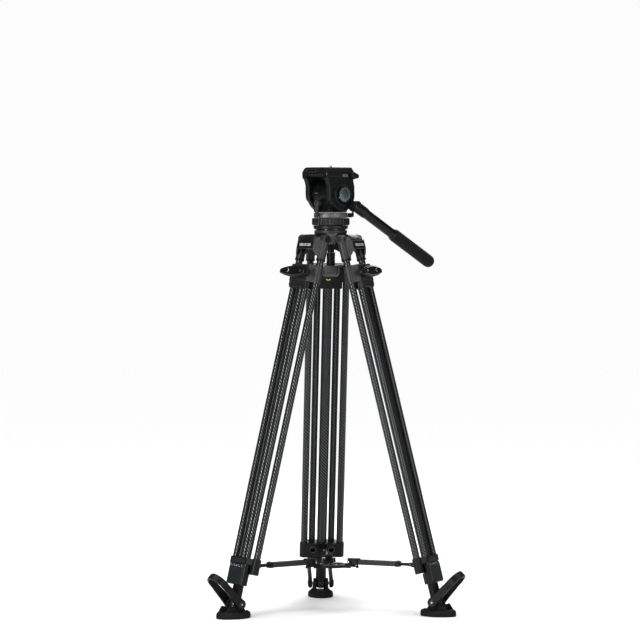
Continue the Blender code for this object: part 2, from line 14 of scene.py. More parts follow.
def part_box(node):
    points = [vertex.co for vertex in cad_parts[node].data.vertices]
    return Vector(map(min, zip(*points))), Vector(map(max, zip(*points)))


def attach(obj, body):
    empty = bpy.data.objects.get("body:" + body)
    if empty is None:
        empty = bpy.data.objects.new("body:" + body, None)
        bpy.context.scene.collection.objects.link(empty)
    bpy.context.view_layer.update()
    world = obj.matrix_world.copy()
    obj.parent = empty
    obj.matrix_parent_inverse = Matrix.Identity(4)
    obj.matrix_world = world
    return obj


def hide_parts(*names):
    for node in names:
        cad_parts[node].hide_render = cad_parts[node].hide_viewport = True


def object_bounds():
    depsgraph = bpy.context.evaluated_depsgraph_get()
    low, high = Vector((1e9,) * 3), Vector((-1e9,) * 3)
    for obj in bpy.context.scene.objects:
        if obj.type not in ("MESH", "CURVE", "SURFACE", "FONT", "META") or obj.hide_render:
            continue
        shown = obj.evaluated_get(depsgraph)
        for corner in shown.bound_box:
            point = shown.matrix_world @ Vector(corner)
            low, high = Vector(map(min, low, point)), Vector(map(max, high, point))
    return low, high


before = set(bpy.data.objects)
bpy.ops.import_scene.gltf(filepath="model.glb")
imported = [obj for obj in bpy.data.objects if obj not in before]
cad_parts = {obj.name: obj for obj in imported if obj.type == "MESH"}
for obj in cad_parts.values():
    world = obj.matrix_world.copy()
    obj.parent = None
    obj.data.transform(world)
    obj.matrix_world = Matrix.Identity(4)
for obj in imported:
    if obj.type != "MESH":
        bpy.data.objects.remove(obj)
CAD_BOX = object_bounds()
MM = 0.001
SMOOTH_ANGLE, BEVEL_ANGLE = radians(40), radians(28)

# Sizes. The legs' places and lean, then down a leg from its hinge.
AZIMUTHS = {1: 90, 2: 210, 3: 330}
TILT, HINGE_R, HINGE_Z, PLANE = 14.6, 34.5, 928, 15.5
OUTER_X, INNER_X, INNER_Y, CENTRE_Y = 46, 25, 14.5, 6
# Each tube's top, end, radius and count of yarns round it.
OUTER_TUBE, INNER_TUBE, CENTRE_TUBE = (-36, -844, 8.5, 24), (-79, -869, 8.25, 24), (-81, -938, 12.25, 36)
TUBE_WALL = 1.5
CORNER_SLOPE = -45.7
PADDLE_Z, PADDLE_HALF, PADDLE_BOW, PADDLE_TALL = -93, 60, 9, 14
LUG_Y, LUG_Z = -30, -827
ANKLE = -928
BAIL_LEAN, BAIL_BEND, BAIL_OUTER, BAIL_INNER = -43, 70, 29.5, 23
# Spreader: the hub's hooks, the arms' height and the collars' lugs.
HUB_R, ARM_Z = 55, 124
LUG_REACH = 228.93
# Column and head.
RIM = 41
TIE_TURN = -12
HEAD_TURN, BAR_DROP, PAN_LOCK_TURN = -50, -28, -42
TILT_Z = 1042
LOCK_Z, DIAL_X = 1089, 47.4
ROSETTE = (57.5, 31, 1013)
THREAD_PITCH = 1.2


def turn(angle, axis="Z"):
    return Matrix.Rotation(radians(angle), 4, axis)


def move(x, y, z):
    return Matrix.Translation(Vector((x, y, z)) * MM)


ball_low, ball_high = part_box("half_ball")
COLUMN = Matrix.Translation(
    ((ball_low[0] + ball_high[0]) / 2, (ball_low[1] + ball_high[1]) / 2, CAD_BOX[0][2])
)
HEAD = COLUMN @ turn(HEAD_TURN)
BAR = HEAD @ move(*ROSETTE) @ turn(BAR_DROP, "X")


def leg_frame(azimuth):
    """+X across the leg, +Y outward, +Z up along it, from beside its hinge."""
    return COLUMN @ turn(azimuth - 90) @ move(0, HINGE_R, HINGE_Z) @ turn(TILT, "X") @ move(0, PLANE, 0)


def ankle_frame(azimuth):
    """Upright at the ankle, and the ankle's height over the floor."""
    at = leg_frame(azimuth) @ Vector((0, CENTRE_Y * MM, ANKLE * MM))
    return Matrix.Translation(at) @ turn(azimuth - 90), (at.z - CAD_BOX[0][2]) / MM


def arm_frame(azimuth):
    return COLUMN @ turn(azimuth - 90) @ move(0, 0, ARM_Z)


def shown(name, data):
    made = bpy.data.objects.new(name, data)
    bpy.context.scene.collection.objects.link(made)
    return made


# Shapes: each is a mesh object in millimetres scaled to metres, with one material.
def form(work, mat, bevel=0.0, segments=2, place=None):
    if place:
        scaled = place.copy()
        scaled.translation /= MM
        bmesh.ops.transform(work, matrix=scaled, verts=work.verts)
    bmesh.ops.transform(work, matrix=Matrix.Scale(MM, 4), verts=work.verts)
    bmesh.ops.recalc_face_normals(work, faces=work.faces)
    mesh = bpy.data.meshes.new("form")
    work.to_mesh(mesh)
    work.free()
    mesh.materials.append(mat)
    return soften(shown("form", mesh), bevel, segments)


def soften(made, bevel, segments=2):
    """Rounds the edges of made by bevel, and leaves them alone at 0."""
    if bevel:
        step = made.modifiers.new("Edges", "BEVEL")
        step.width = bevel * MM
        step.segments = segments
        step.limit_method = "ANGLE"
        step.angle_limit = BEVEL_ANGLE
        step.use_clamp_overlap = True
    return made


def block(low, high, mat, bevel=1.0, segments=2, place=None):
    low, high = Vector(low), Vector(high)
    work = bmesh.new()
    bmesh.ops.create_cube(work, size=1)
    stretch = Matrix.Translation((low + high) / 2) @ Matrix.Diagonal((*(high - low), 1))
    bmesh.ops.transform(work, matrix=stretch, verts=work.verts)
    return form(work, mat, bevel, segments, place)


def prism(points, low, high, plane, mat, bevel=1.0, segments=2, place=None):
    """A flat outline in plane XY, XZ or YZ, drawn out from low to high along the third axis."""
    spread = {
        "XY": lambda a, b, c: (a, b, c),
        "XZ": lambda a, b, c: (a, c, b),
        "YZ": lambda a, b, c: (c, a, b),
    }[plane]
    ends = [[spread(a, b, level) for a, b in points] for level in (low, high)]
    return skinned(ends, mat, bevel, segments, place)


def skinned(outlines, mat, bevel=0.0, segments=2, place=None):
    """Closed outlines of equal count, joined each to the next and capped."""
    work = bmesh.new()
    rings = [[work.verts.new(point) for point in points] for points in outlines]
    work.faces.new(rings[0])
    work.faces.new(list(reversed(rings[-1])))
    count = len(rings[0])
    for first, second in zip(rings, rings[1:]):
        for i in range(count):
            j = (i + 1) % count
            work.faces.new((first[i], first[j], second[j], second[i]))
    return form(work, mat, bevel, segments, place)


def lathe(profile, mat, sides=64, bevel=0.0, closed=False, place=None, wobble=None):
    """A profile of (radius, height) turned about Z; wobble(angle, radius) gives ribs."""
    work = bmesh.new()
    rings = []
    for r, z in profile:
        if r == 0:
            rings.append([work.verts.new((0, 0, z))])
            continue
        ring = []
        for i in range(sides):
            a = tau * i / sides
            reach = wobble(a, r) if wobble else r
            ring.append(work.verts.new((reach * cos(a), reach * sin(a), z)))
        rings.append(ring)
    pairs = list(zip(rings, rings[1:]))
    if closed:
        pairs.append((rings[-1], rings[0]))
    for upper, lower in pairs:
        for i in range(sides):
            j = (i + 1) % sides
            corners = [upper[i % len(upper)], upper[j % len(upper)]]
            corners += [lower[j % len(lower)], lower[i % len(lower)]]
            corners = list(dict.fromkeys(corners))
            if len(corners) > 2:
                work.faces.new(corners)
    return form(work, mat, bevel, 2, place)


def ring(inner, outer, start, end, mat, sides=48, bevel=0.0, place=None):
    """A square-section ring about Z, from height start to end."""
    profile = [(inner, start), (outer, start), (outer, end), (inner, end)]
    return lathe(profile, mat, sides, bevel, closed=True, place=place)


def aimed(at, toward):
    """The place at a point whose +Z looks along toward."""
    way = Vector((0, 0, 1)).rotation_difference(toward).to_matrix().to_4x4()
    return Matrix.Translation(at * MM) @ way


def bar(start, end, radius, mat, sides=40, bevel=0.8, end_radius=None, place=None):
    """A round bar between two points, with softened ends; end_radius tapers it."""
    start, end = Vector(start), Vector(end)
    length = (end - start).length
    last = radius if end_radius is None else end_radius
    at = aimed(start, end - start)
    if place:
        at = place @ at
    return lathe([(0, length), (last, length), (radius, 0), (0, 0)], mat, sides, bevel, place=at)


def across(start, end, y, z, radius, mat, sides=40, bevel=0.8, place=None):
    """A round bar along X."""
    return bar((start, y, z), (end, y, z), radius, mat, sides, bevel, place=place)


def arc(centre, radius, start, end, steps):
    angles = [radians(start + (end - start) * i / steps) for i in range(steps + 1)]
    return [(centre[0] + radius * cos(a), centre[1] + radius * sin(a)) for a in angles]


def mirrored(half):
    """A closed outline from the points on its +X side, listed in order."""
    return half + [(-x, y) for x, y in reversed(half)]


def span(side, near, far):
    """Two distances from the middle plane as low and high on one side of it."""
    return sorted((side * near, side * far))


def screw(at, toward, mat, radius=2.4):
    """A sunk-socket screw head standing 0.7 mm off a face."""
    profile = [(0, -0.5), (radius * 0.45, -0.5), (radius * 0.52, 0.5), (radius * 0.85, 0.7)]
    profile += [(radius, 0.3), (radius, -1), (0, -1)]
    return lathe(profile, mat, 18, 0, place=aimed(Vector(at), Vector(toward).normalized()))


def settled(source):
    """The mesh of a form with its modifiers; the form goes."""
    bpy.context.view_layer.update()
    graph = bpy.context.evaluated_depsgraph_get()
    mesh = bpy.data.meshes.new_from_object(source.evaluated_get(graph))
    bpy.data.objects.remove(source, do_unlink=True)
    return mesh


def carve(body, cutters, bevel=0.0, segments=2, add=()):
    """body with the forms in add joined and the cutters taken away, then its edges softened."""
    for operation, others in (("UNION", add), ("DIFFERENCE", cutters)):
        for other in others:
            step = body.modifiers.new(operation.title(), "BOOLEAN")
            step.operation, step.solver, step.object = operation, "EXACT", other
    mesh = settled(body)
    for other in (*add, *cutters):
        bpy.data.objects.remove(other, do_unlink=True)
    return soften(shown("form", mesh), bevel, segments)


def piece(name, place, body, forms, *nodes):
    """Joins forms into one object of the visual model, which rides on body and stands for nodes."""
    work, mats = bmesh.new(), []
    for source in forms:
        mesh = settled(source)
        slots = []
        for mat in mesh.materials:
            if mat not in mats:
                mats.append(mat)
            slots.append(mats.index(mat))
        for face in mesh.polygons:
            face.material_index = slots[face.material_index] if slots else 0
        work.from_mesh(mesh)
        bpy.data.meshes.remove(mesh)
    mesh = bpy.data.meshes.new(name)
    work.to_mesh(mesh)
    work.free()
    for mat in mats:
        mesh.materials.append(mat)
    mesh.shade_smooth()
    mesh.set_sharp_from_angle(angle=SMOOTH_ANGLE)
    made = shown(name, mesh)
    made.matrix_world = place
    weigh = made.modifiers.new("Normals", "WEIGHTED_NORMAL")
    weigh.keep_sharp = True
    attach(made, body)
    if nodes:
        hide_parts(*nodes)
    return made


# Materials.
EDGE_WEAR_AND_HIGHLIGHT_WIDTH, MOTTLING, COAT_ROUGHNESS = 0.9, 45, 0.12


def new_material(name):
    made = bpy.data.materials.new(name)
    made.use_nodes = True
    return made, made.node_tree, made.node_tree.nodes["Principled BSDF"]


def feed(tree, node, values):
    """Sets a node's inputs to numbers and tuples, or links other nodes' outputs to them."""
    for key, value in values.items():
        if isinstance(value, (int, float, tuple)):
            node.inputs[key].default_value = value
        elif value is not None:
            tree.links.new(value, node.inputs[key])


def add(tree, kind, values, **settings):
    made = tree.nodes.new("ShaderNode" + kind)
    for key, value in settings.items():
        setattr(made, key, value)
    feed(tree, made, values)
    return made


def sums(tree, operation, first, second=None):
    """A maths node on sockets or numbers."""
    return add(tree, "Math", {0: first, 1: second}, operation=operation).outputs[0]


def speckle(tree, scale, detail=3.0, stretch=(1, 1, 1)):
    """Noise in the piece's own space, in metres; stretch scales its axes."""
    place = add(tree, "TexCoord", {}).outputs["Object"]
    spread = add(tree, "Mapping", {"Scale": stretch, "Vector": place}).outputs[0]
    return add(tree, "TexNoise", {"Scale": scale, "Detail": detail, "Vector": spread}).outputs["Fac"]


def ranged(tree, value, low, high, start=0.3, end=0.7):
    ends = {"From Min": start, "From Max": end, "To Min": low, "To Max": high}
    return add(tree, "MapRange", {**ends, "Value": value}).outputs[0]


def blended(tree, fac, first, second):
    """A colour between two others, each a tuple, the number of a grey, or a socket."""
    ends = []
    for value in (first, second):
        if isinstance(value, float):
            value = (value, value, value)
        ends.append((*value, 1) if isinstance(value, tuple) else value)
    return add(tree, "Mix", {0: fac, 6: ends[0], 7: ends[1]}, data_type="RGBA").outputs[2]


def dented(tree, shader, height, distance, strength=1.0):
    bump = add(tree, "Bump", {"Strength": strength, "Distance": distance * MM, "Height": height})
    feed(tree, shader, {"Normal": bump.outputs[0]})


def worn_and_painted_highlight_edges(tree):
    """From 0 on flats to 1 on edges, where the finish is made lighter, partly as rubbed wear and partly as
    a painted highlight.
    """
    rounded = add(tree, "Bevel", {"Radius": EDGE_WEAR_AND_HIGHLIGHT_WIDTH * MM}, samples=4).outputs[0]
    plain = add(tree, "NewGeometry", {}).outputs["Normal"]
    dot = add(tree, "VectorMath", {0: rounded, 1: plain}, operation="DOT_PRODUCT")
    return ranged(tree, dot.outputs["Value"], 1.0, 0.0, 0.86, 0.99)


def finish_of(name, dark, light, wear_and_highlight=None, metal=0.0, rough=(0.35, 0.5), grain=900, depth=0.05,
              gloss=0.4, coat=0.0, stretch=(1, 1, 1)):
    """A moulded, cast or turned finish: mottled colour, fine grain, and edges made lighter, partly as
    rubbed wear and partly as a painted highlight.
    """
    made, tree, shader = new_material(name)
    broad = speckle(tree, MOTTLING, 4.0)
    fine = speckle(tree, grain, 3.0, stretch)
    colour = blended(tree, ranged(tree, broad, 0.0, 1.0), dark, light)
    # Lighter edges: partly rubbed wear, partly a painted highlight.
    if wear_and_highlight:
        rubbed_and_highlit = sums(tree, "MULTIPLY", worn_and_painted_highlight_edges(tree), ranged(tree, broad, 0.15, 0.9))
        colour = blended(tree, rubbed_and_highlit, colour, wear_and_highlight)
    uneven = sums(tree, "ADD", sums(tree, "MULTIPLY", fine, 0.4), sums(tree, "MULTIPLY", broad, 0.6))
    feed(tree, shader, {
        "Base Color": colour, "Roughness": ranged(tree, uneven, *rough), "Metallic": metal,
        "Specular IOR Level": gloss, "Coat Weight": coat, "Coat Roughness": COAT_ROUGHNESS,
    })
    dented(tree, shader, fine, depth)
    return made


def carbon_weave(name):
    """Two-by-two twill. The UV map counts yarns, across in U and along the tube in V."""
    made, tree, shader = new_material(name)
    uv = add(tree, "UVMap", {}, uv_map="yarns")
    u, v, _ = add(tree, "SeparateXYZ", {0: uv.outputs[0]}).outputs
    step = sums(tree, "ADD", sums(tree, "FLOOR", u), sums(tree, "FLOOR", v))
    over = sums(tree, "LESS_THAN", sums(tree, "FLOORED_MODULO", step, 4.0), 1.5)

    def rounded(value):
        off = sums(tree, "SUBTRACT", sums(tree, "FRACT", value), 0.5)
        return sums(tree, "SUBTRACT", 1.0, sums(tree, "MULTIPLY", sums(tree, "MULTIPLY", off, off), 4.0))

    yarn = add(tree, "Mix", {0: over, 2: rounded(u), 3: rounded(v)}, data_type="FLOAT").outputs[0]
    threads = speckle(tree, 260, 2.0, (6, 6, 0.6))
    base = blended(tree, over, (0.0012, 0.0013, 0.0014), (0.15, 0.155, 0.16))
    # Each yarn is darker towards its edges, where it dips under the next one: painted shade.
    painted_yarn_shade = ranged(tree, yarn, 0.0, 1.0, -0.1, 0.8)
    colour = blended(tree, painted_yarn_shade, (0.004, 0.004, 0.0042), base)
    mottled = blended(tree, ranged(tree, threads, 0.0, 0.25), colour, (0.008, 0.0083, 0.0086))
    dull = sums(tree, "SUBTRACT", ranged(tree, threads, 0.66, 0.76), sums(tree, "MULTIPLY", over, 0.4))
    feed(tree, shader, {
        "Base Color": mottled, "Roughness": dull, "Metallic": sums(tree, "MULTIPLY", over, 0.92),
        "Specular IOR Level": 0.4, "Coat Weight": 0.18, "Coat Roughness": COAT_ROUGHNESS,
    })
    dented(tree, shader, yarn, 0.12, 0.7)
    return made


def foam(name):
    """Closed-cell foam: fine pits with painted shade in them, and a dull, slightly dusty skin."""
    made, tree, shader = new_material(name)
    place = add(tree, "TexCoord", {}).outputs["Object"]
    cells = add(tree, "TexVoronoi", {"Scale": 1100, "Vector": place})
    broad = speckle(tree, 60, 5.0)
    fine = speckle(tree, 1500, 2.0)
    colour = blended(tree, ranged(tree, broad, 0.0, 1.0), (0.007, 0.007, 0.0075), (0.014, 0.014, 0.0145))
    # The pits are dented and also coloured near black: painted shade.
    pits_and_painted_shade = ranged(tree, cells.outputs["Distance"], 0.0, 1.0, 0.0, 0.55)
    feed(tree, shader, {
        "Base Color": blended(tree, pits_and_painted_shade, 0.004, colour), "Roughness": ranged(tree, fine, 0.75, 0.95),
        "Specular IOR Level": 0.25, "Sheen Weight": 0.12, "Sheen Roughness": 0.4,
    })
    dented(tree, shader, sums(tree, "ADD", pits_and_painted_shade, fine), 0.16, 0.8)
    return made


CARBON = carbon_weave("carbon_twill")
CAST = finish_of("cast_satin", (0.008, 0.0083, 0.009), (0.014, 0.0145, 0.0155), 0.06,
                 0.25, (0.32, 0.46), 1400, 0.07, 0.35)
# A lighter copy of the cast finish for faces, barrels and sockets that catch the light: painted light.
CAST_PAINTED_LIT = finish_of("cast_painted_lit", (0.042, 0.042, 0.044), (0.056, 0.056, 0.058), 0.13,
                 0.3, (0.36, 0.5), 1400, 0.07, 0.45)
# A much lighter copy of the cast finish. It is painted light on parts that fall in shade, such as the
# crown's noses, the tie-down knob and the rings round the spreader collar's windows. It is also the colour
# of pale tags and index marks.
PALE_MARKS_AND_PAINTED_LIGHT = finish_of("cast_pale_marks_and_painted_light", (0.13, 0.13, 0.134), (0.17, 0.17, 0.174), 0.2,
                      0.3, (0.4, 0.52), 1400, 0.07, 0.45)
HOOD = finish_of("hood_blue_black", (0.008, 0.009, 0.013), (0.015, 0.0165, 0.022),
                 (0.06, 0.06, 0.07), 0.1, (0.3, 0.45), 1100, 0.06, 0.35)
COVER = finish_of("cover_blue_grey", (0.011, 0.0145, 0.0175), (0.018, 0.0225, 0.026),
                  (0.07, 0.075, 0.08), 0.0, (0.42, 0.58), 1000, 0.09, 0.4)
PLASTIC = finish_of("plastic_black", (0.004, 0.004, 0.0043), (0.0075, 0.0075, 0.0078),
                    0.035, 0.0, (0.3, 0.46), 1200, 0.06, 0.28)
GLOSSY = finish_of("plastic_gloss", (0.005, 0.005, 0.0055), (0.008, 0.008, 0.0085),
                   0.04, 0.0, (0.16, 0.28), 700, 0.02, 0.5, 0.2)
RIBBED = finish_of("ring_dark", (0.011, 0.011, 0.0115), (0.019, 0.019, 0.0195), 0.1,
                   0.2, (0.36, 0.5), 900, 0.06, 0.45)
BRIGHT = finish_of("turned_grey", (0.11, 0.11, 0.113), (0.15, 0.15, 0.154), 0.2,
                   0.5, (0.42, 0.5), 400, 0.012, 0.5, stretch=(0.4, 0.4, 14))
RUBBER = finish_of("rubber_matte", (0.009, 0.009, 0.0093), (0.016, 0.016, 0.0163), 0.035,
                   0.0, (0.62, 0.8), 1000, 0.16, 0.25)
STEEL = finish_of("steel_plated", (0.4, 0.4, 0.41), (0.55, 0.55, 0.56), 0.8,
                  1.0, (0.18, 0.3), 1500, 0.02, 0.5, stretch=(1, 1, 6))
OXIDE = finish_of("black_oxide", (0.02, 0.02, 0.021), (0.035, 0.035, 0.036), 0.12,
                  0.8, (0.28, 0.4), 1300, 0.03, 0.5)
SATIN = finish_of("head_satin_black", (0.005, 0.006, 0.0064),
                  (0.0095, 0.0108, 0.0112), (0.075, 0.08, 0.082), 0.1, (0.3, 0.44), 1300, 0.06, 0.3)
DIAL = finish_of("dial_anodised", (0.07, 0.095, 0.105), (0.13, 0.16, 0.175), (0.2, 0.24, 0.25),
                 0.5, (0.2, 0.32), 600, 0.03, 0.5, 0.3)
PALE = finish_of("pale_inlay", (0.32, 0.32, 0.305), (0.45, 0.45, 0.43), (0.65, 0.65, 0.63),
                 0.1, (0.35, 0.5), 900, 0.03, 0.4)
LIME = finish_of("lime_inlay", (0.62, 0.66, 0.22), (0.72, 0.76, 0.34), (0.85, 0.9, 0.6),
                 0.0, (0.4, 0.55), 900, 0.03, 0.4)
FOAM = foam("foam_grip")


# Crown, levelling ball and tie-down knob
def crown():
    bowl = [(36.5, 953), (RIM, 953), (RIM, 947), (39.5, 944), (35, 937), (30, 930), (28.2, 921)]
    bowl += [(20, 920), (20, 924), (26, 930), (33, 941), (36.5, 948)]
    # The bowl is in the lighter cast copy: painted light.
    forms = [lathe(bowl, CAST_PAINTED_LIT, 96, 0.7, closed=True)]
    for azimuth in AZIMUTHS.values():
        here, opposite = turn(azimuth - 90), turn(azimuth + 90)
        nose = [(-9, 918), (9, 918), (9, 938), (15, 947), (-15, 947), (-9, 938)]
        # Each nose is in the much lighter cast copy: painted light where it falls in shade.
        forms.append(prism(nose, 24, 39.6, "XZ", PALE_MARKS_AND_PAINTED_LIGHT, 1.6, 3, opposite))
        forms.append(block((-5, 38.6, 914), (5, 39.2, 919.4), CAST, 0.2, 2, opposite))
        side = [(22, 920.6), (34, 920.6), (34, 936), (30, 943), (22, 943)]
        forms += [
            prism(side, -13.2, 13.2, "YZ", CAST, 1.0, 2, here),
            across(-13.3, 13.3, HINGE_R, HINGE_Z, 9, CAST, place=here),
            across(-20.6, 20.6, HINGE_R, HINGE_Z, 4, STEEL, place=here),
        ]
    piece("crown_casting", COLUMN, "crown", forms, "crown")


def half_ball():
    ball = arc((0, 962), 37.4, -7, -76, 12)
    profile = [(0, 983.6), (30, 983.6), (30, 964.7), (42.3, 964.7), (43.5, 963.4), (43.5, 961.5)]
    profile += [(42.4, 961), (42.4, 960), (43.5, 959.4), (43.5, 958.2), (42.5, 957.2)]
    profile += [(41.4, 957), (41.2, 956.4), (38, 956)]
    forms = [lathe(profile + ball + [(8.5, 897.4), (6, 897.4), (6, 873), (0, 873)], RIBBED, 96)]
    forms.append(ring(RIM - 3, RIM - 1, 957, 955, GLOSSY, 64))
    piece("half_ball_body", COLUMN, "levelling_ball", forms, "half_ball")


def rounded_square(half, round_r):
    corners = []
    for k in range(4):
        a = radians(90 * k + 45)
        at = sqrt(2) * (half - round_r)
        corners += arc((at * cos(a), at * sin(a)), round_r, 90 * k + 4, 90 * k + 86, 5)
    return corners


def lofted(levels, mat, bevel=0.0, place=None):
    """Flat outlines of equal count at rising heights."""
    return skinned([[(x, y, z) for x, y in points] for z, points in levels], mat, bevel, 2, place)


def tie_down():
    levels = [(837, 14.5, 6), (839, 17.5, 7), (844, 20.2, 8), (862, 20.5, 8), (864.5, 19.5, 8)]
    spun = [(z, rounded_square(half, round_r)) for z, half, round_r in levels]
    # The knob is in the much lighter cast copy: painted light.
    forms = [lofted(spun, PALE_MARKS_AND_PAINTED_LIGHT, place=turn(TIE_TURN))]
    stem = [(6.6, 896.6), (11, 896.6), (11.4, 895.8), (11.4, 894.6), (10.6, 894), (10.2, 880)]
    stem += [(10.8, 866), (6.6, 864)]
    forms += [lathe(stem, PLASTIC, 48, 0.3, closed=True), ring(9, 11.5, 897, 895.6, BRIGHT, 48, 0.2)]
    for k in range(4):
        forms.append(block((-8, 19.4, 846), (8, 20.6, 847.2), CAST, 0.3, 2, turn(90 * k + TIE_TURN)))
    piece("tie_down_grip", COLUMN, "tie_down", forms, "tie_down_knob")


# Legs
def woven_tube(name, place, body, node, x, y, top, end, radius, yarns):
    """A hollow tube with a UV map that counts its yarns, so that the weave follows it."""
    sides = 48
    work = bmesh.new()
    layer = work.loops.layers.uv.new("yarns")
    wall = radius - TUBE_WALL
    cell = tau * radius / yarns
    heights = [(wall, top - 0.3), (radius - 0.3, top), (radius, top - 0.4)]
    heights += [(radius, end + 0.4), (radius - 0.3, end), (wall, end + 0.3)]
    rings = []
    for r, z in heights:
        turns = [tau * i / sides for i in range(sides)]
        rings.append([work.verts.new((x + r * cos(a), y + r * sin(a), z)) for a in turns])
    levels = [z for _, z in heights]
    for k in range(len(rings)):
        m = (k + 1) % len(rings)
        for i in range(sides):
            j = (i + 1) % sides
            face = work.faces.new((rings[k][i], rings[m][i], rings[m][j], rings[k][j]))
            around = [i, i, i + 1, i + 1]
            height = [levels[k], levels[m], levels[m], levels[k]]
            for loop, at, level in zip(face.loops, around, height):
                loop[layer].uv = (at / sides * yarns, level / cell)
    piece(name, place, body, [form(work, CARBON)], node)


def tubes(n, place):
    leg, second, third = f"leg_{n}", f"leg_{n}_stage_2", f"leg_{n}_stage_3"
    for side, label in ((-1, "a"), (1, "b")):
        node = f"{leg}_outer_tube_{label}"
        woven_tube(node + "_weave", place, leg, node, side * OUTER_X, 0, *OUTER_TUBE)
        node = f"{leg}_inner_tube_{label}"
        woven_tube(node + "_weave", place, second, node, side * INNER_X, INNER_Y, *INNER_TUBE)
    node = f"{leg}_centre_tube"
    woven_tube(node + "_weave", place, third, node, 0, CENTRE_Y, *CENTRE_TUBE)
    ferrule = [(12.3, -883), (12.9, -883), (13.2, -883.8), (13.2, -921), (12.8, -922), (12.3, -922)]
    piece(f"{leg}_ferrule", place @ move(0, CENTRE_Y, 0), third, [lathe(ferrule, PLASTIC, 64, closed=True)])


def yoke(n, place):
    crest = [(20, 10), (24, 5.5), (28, 0), (36, -8), (48, -13), (55, -17), (56.2, -50)]
    arch = [(36 * cos(pi * k / 16), -51 + 25 * sin(pi * k / 16)) for k in range(8)]
    forms = [prism(mirrored(crest + arch), -5, 5, "XZ", CAST, 1.4, 3)]
    # The roof leans back from the hinge to the hood, and its shoulders fall away to the tubes.
    back, base, depth, height = -4, -12, 28.6, 23.2
    roof = [(back, 10.6), (4, 10.6), (10, 8), (16, 3), (20.6, -3), (23.4, -9.4), (24, base), (back, base)]
    forms.append(prism(roof, -21, 21, "YZ", HOOD, 1.6, 3))
    # Each row is how far out it is, then where the roof's outline starts and ends in Y and in Z.
    near = ((20, -4, 24.6, -12, 11.2), (27, -1, 24.4, -12, 8.6), (32, 0, 23, -12, 5),
            (35.4, 1, 20.5, -13, 0.5))
    far = ((34.6, -6, 23.6, -13, 7), (41, -7, 18, -15, 3), (48, -6, 11, -17, -3))
    for side in (-1, 1):
        for rows, mat in ((near, HOOD), (far, CAST_PAINTED_LIT)):
            sections = []
            for x, y0, y1, z0, z1 in rows:
                wide, tall = (y1 - y0) / depth, (z1 - z0) / height
                sections.append(
                    [(side * x, y0 + (y - back) * wide, z0 + (z - base) * tall) for y, z in roof])
            forms.append(skinned(sections, mat, 0.9))
    hood = mirrored([(28, 16), (33, 18), (36, 22.6), (34.4, 24.6)])
    forms.append(prism(hood, -31, -10, "XY", HOOD, 1.2, 3))
    # The corner plates between the hood and the tubes. Their lighter cast copy is painted light.
    corner = [(0, -8), (12, -7), (29, -8), (29.3, -50), (21, -50), (9, -44), (0, -32)]
    for side, slope, deep in ((-1, 180 - CORNER_SLOPE, (0, 5)), (1, CORNER_SLOPE, (-5, 0))):
        x = side * OUTER_X
        forms += [
            prism(corner, *deep, "XZ", CAST_PAINTED_LIT, 1.0, 3, move(side * 35.4, 24.1, 0) @ turn(slope)),
            bar((x, 0, -56.8), (x, 0, -2), 11, CAST_PAINTED_LIT, 48, 1.2),
            across(side * 36, side * 57, 0, -1, 11.2, CAST_PAINTED_LIT, 56, 1.6),
            across(side * 56.8, side * 57.8, 0, -1, 8.4, PLASTIC, 48, 0.4),
            lathe([(8.9, -57), (11.5, -57), (11.5, -52.5), (11, -52), (8.9, -52)], PLASTIC, 48,
                  0.3, closed=True, place=move(x, 0, 0)),
            across(side * 13.9, side * 20.8, -PLANE, 0, 11, CAST, bevel=1.4),
        ]
        low, high = span(side, 13.9, 20.8)
        forms += [
            block((low, -PLANE, -10.6), (high, 2, 10.6), CAST, 1.6),
            across(side * 20.7, side * 24.5, -PLANE, 0, 11.8, PLASTIC, 56, 1.3),
            screw((side * 24.4, -PLANE, 0), (side, 0, 0), OXIDE, 4),
        ]
    for start, end in ((-24, -10), (-7.6, 3), (5.4, 24)):
        forms.append(block((start, 23.8, -24.6), (end, 25.1, -17.4), PALE, 0.5))
    piece(f"leg_{n}_yoke_casting", place, f"leg_{n}", forms, f"leg_{n}_yoke")


def upper_collar(n, place):
    section = mirrored([(56, 0), (56, 4.5), (37, 24.3)])
    forms = [
        # The collar's body and barrels are in the lighter cast copy: painted light.
        prism(section, -113.6, -70.4, "XY", CAST_PAINTED_LIT, 1.5, 3),
        block((-50, -9, -112), (50, 2, -72), CAST, 1.4),
        block((-35.6, -9, -129.6), (35.6, 2, -110), CAST, 1.4),
        prism([(1, -111), (24, -111), (24, -123), (21.5, -129.8), (1, -129.8)],
              -35.8, 35.8, "YZ", COVER, 1.6, 3),
    ]
    for side in (-1, 1):
        x = side * OUTER_X
        forms += [
            bar((x, 0, -114), (x, 0, -70), 11, CAST_PAINTED_LIT, 48, 1.4),
            ring(8.8, 10.8, -69.6, -71.5, GLOSSY, 48, 0.3, place=move(x, 0, 0)),
            bar((side * INNER_X, 11.5, -130), (side * INNER_X, 11.5, -112), 11.6, CAST, bevel=1),
        ]
        for z in (-82, -104):
            forms.append(screw((side * 46.6, 14.3, z), (side * 0.72, 0.69, 0), OXIDE, 2.2))
        low, high = span(side, 15, 20)
        forms.append(block((low, 23, -88), (high, 27.6, -76), CAST, 1))
    for k in range(5):
        forms.append(block((-30, 23.5, -116.5 - 2.6 * k), (30, 24.5, -115.3 - 2.6 * k), COVER, 0.3))
    mark = [(-7, -105), (-3.6, -102.4), (0, -105), (3.6, -102.4), (7, -105), (4, -107), (0, -108.6),
            (-4, -107)]
    forms.append(prism(mark, -9.7, -8.6, "XZ", LIME, 0.3, 1))
    piece(f"leg_{n}_upper_collar_casting", place, f"leg_{n}", forms, f"leg_{n}_upper_collar")


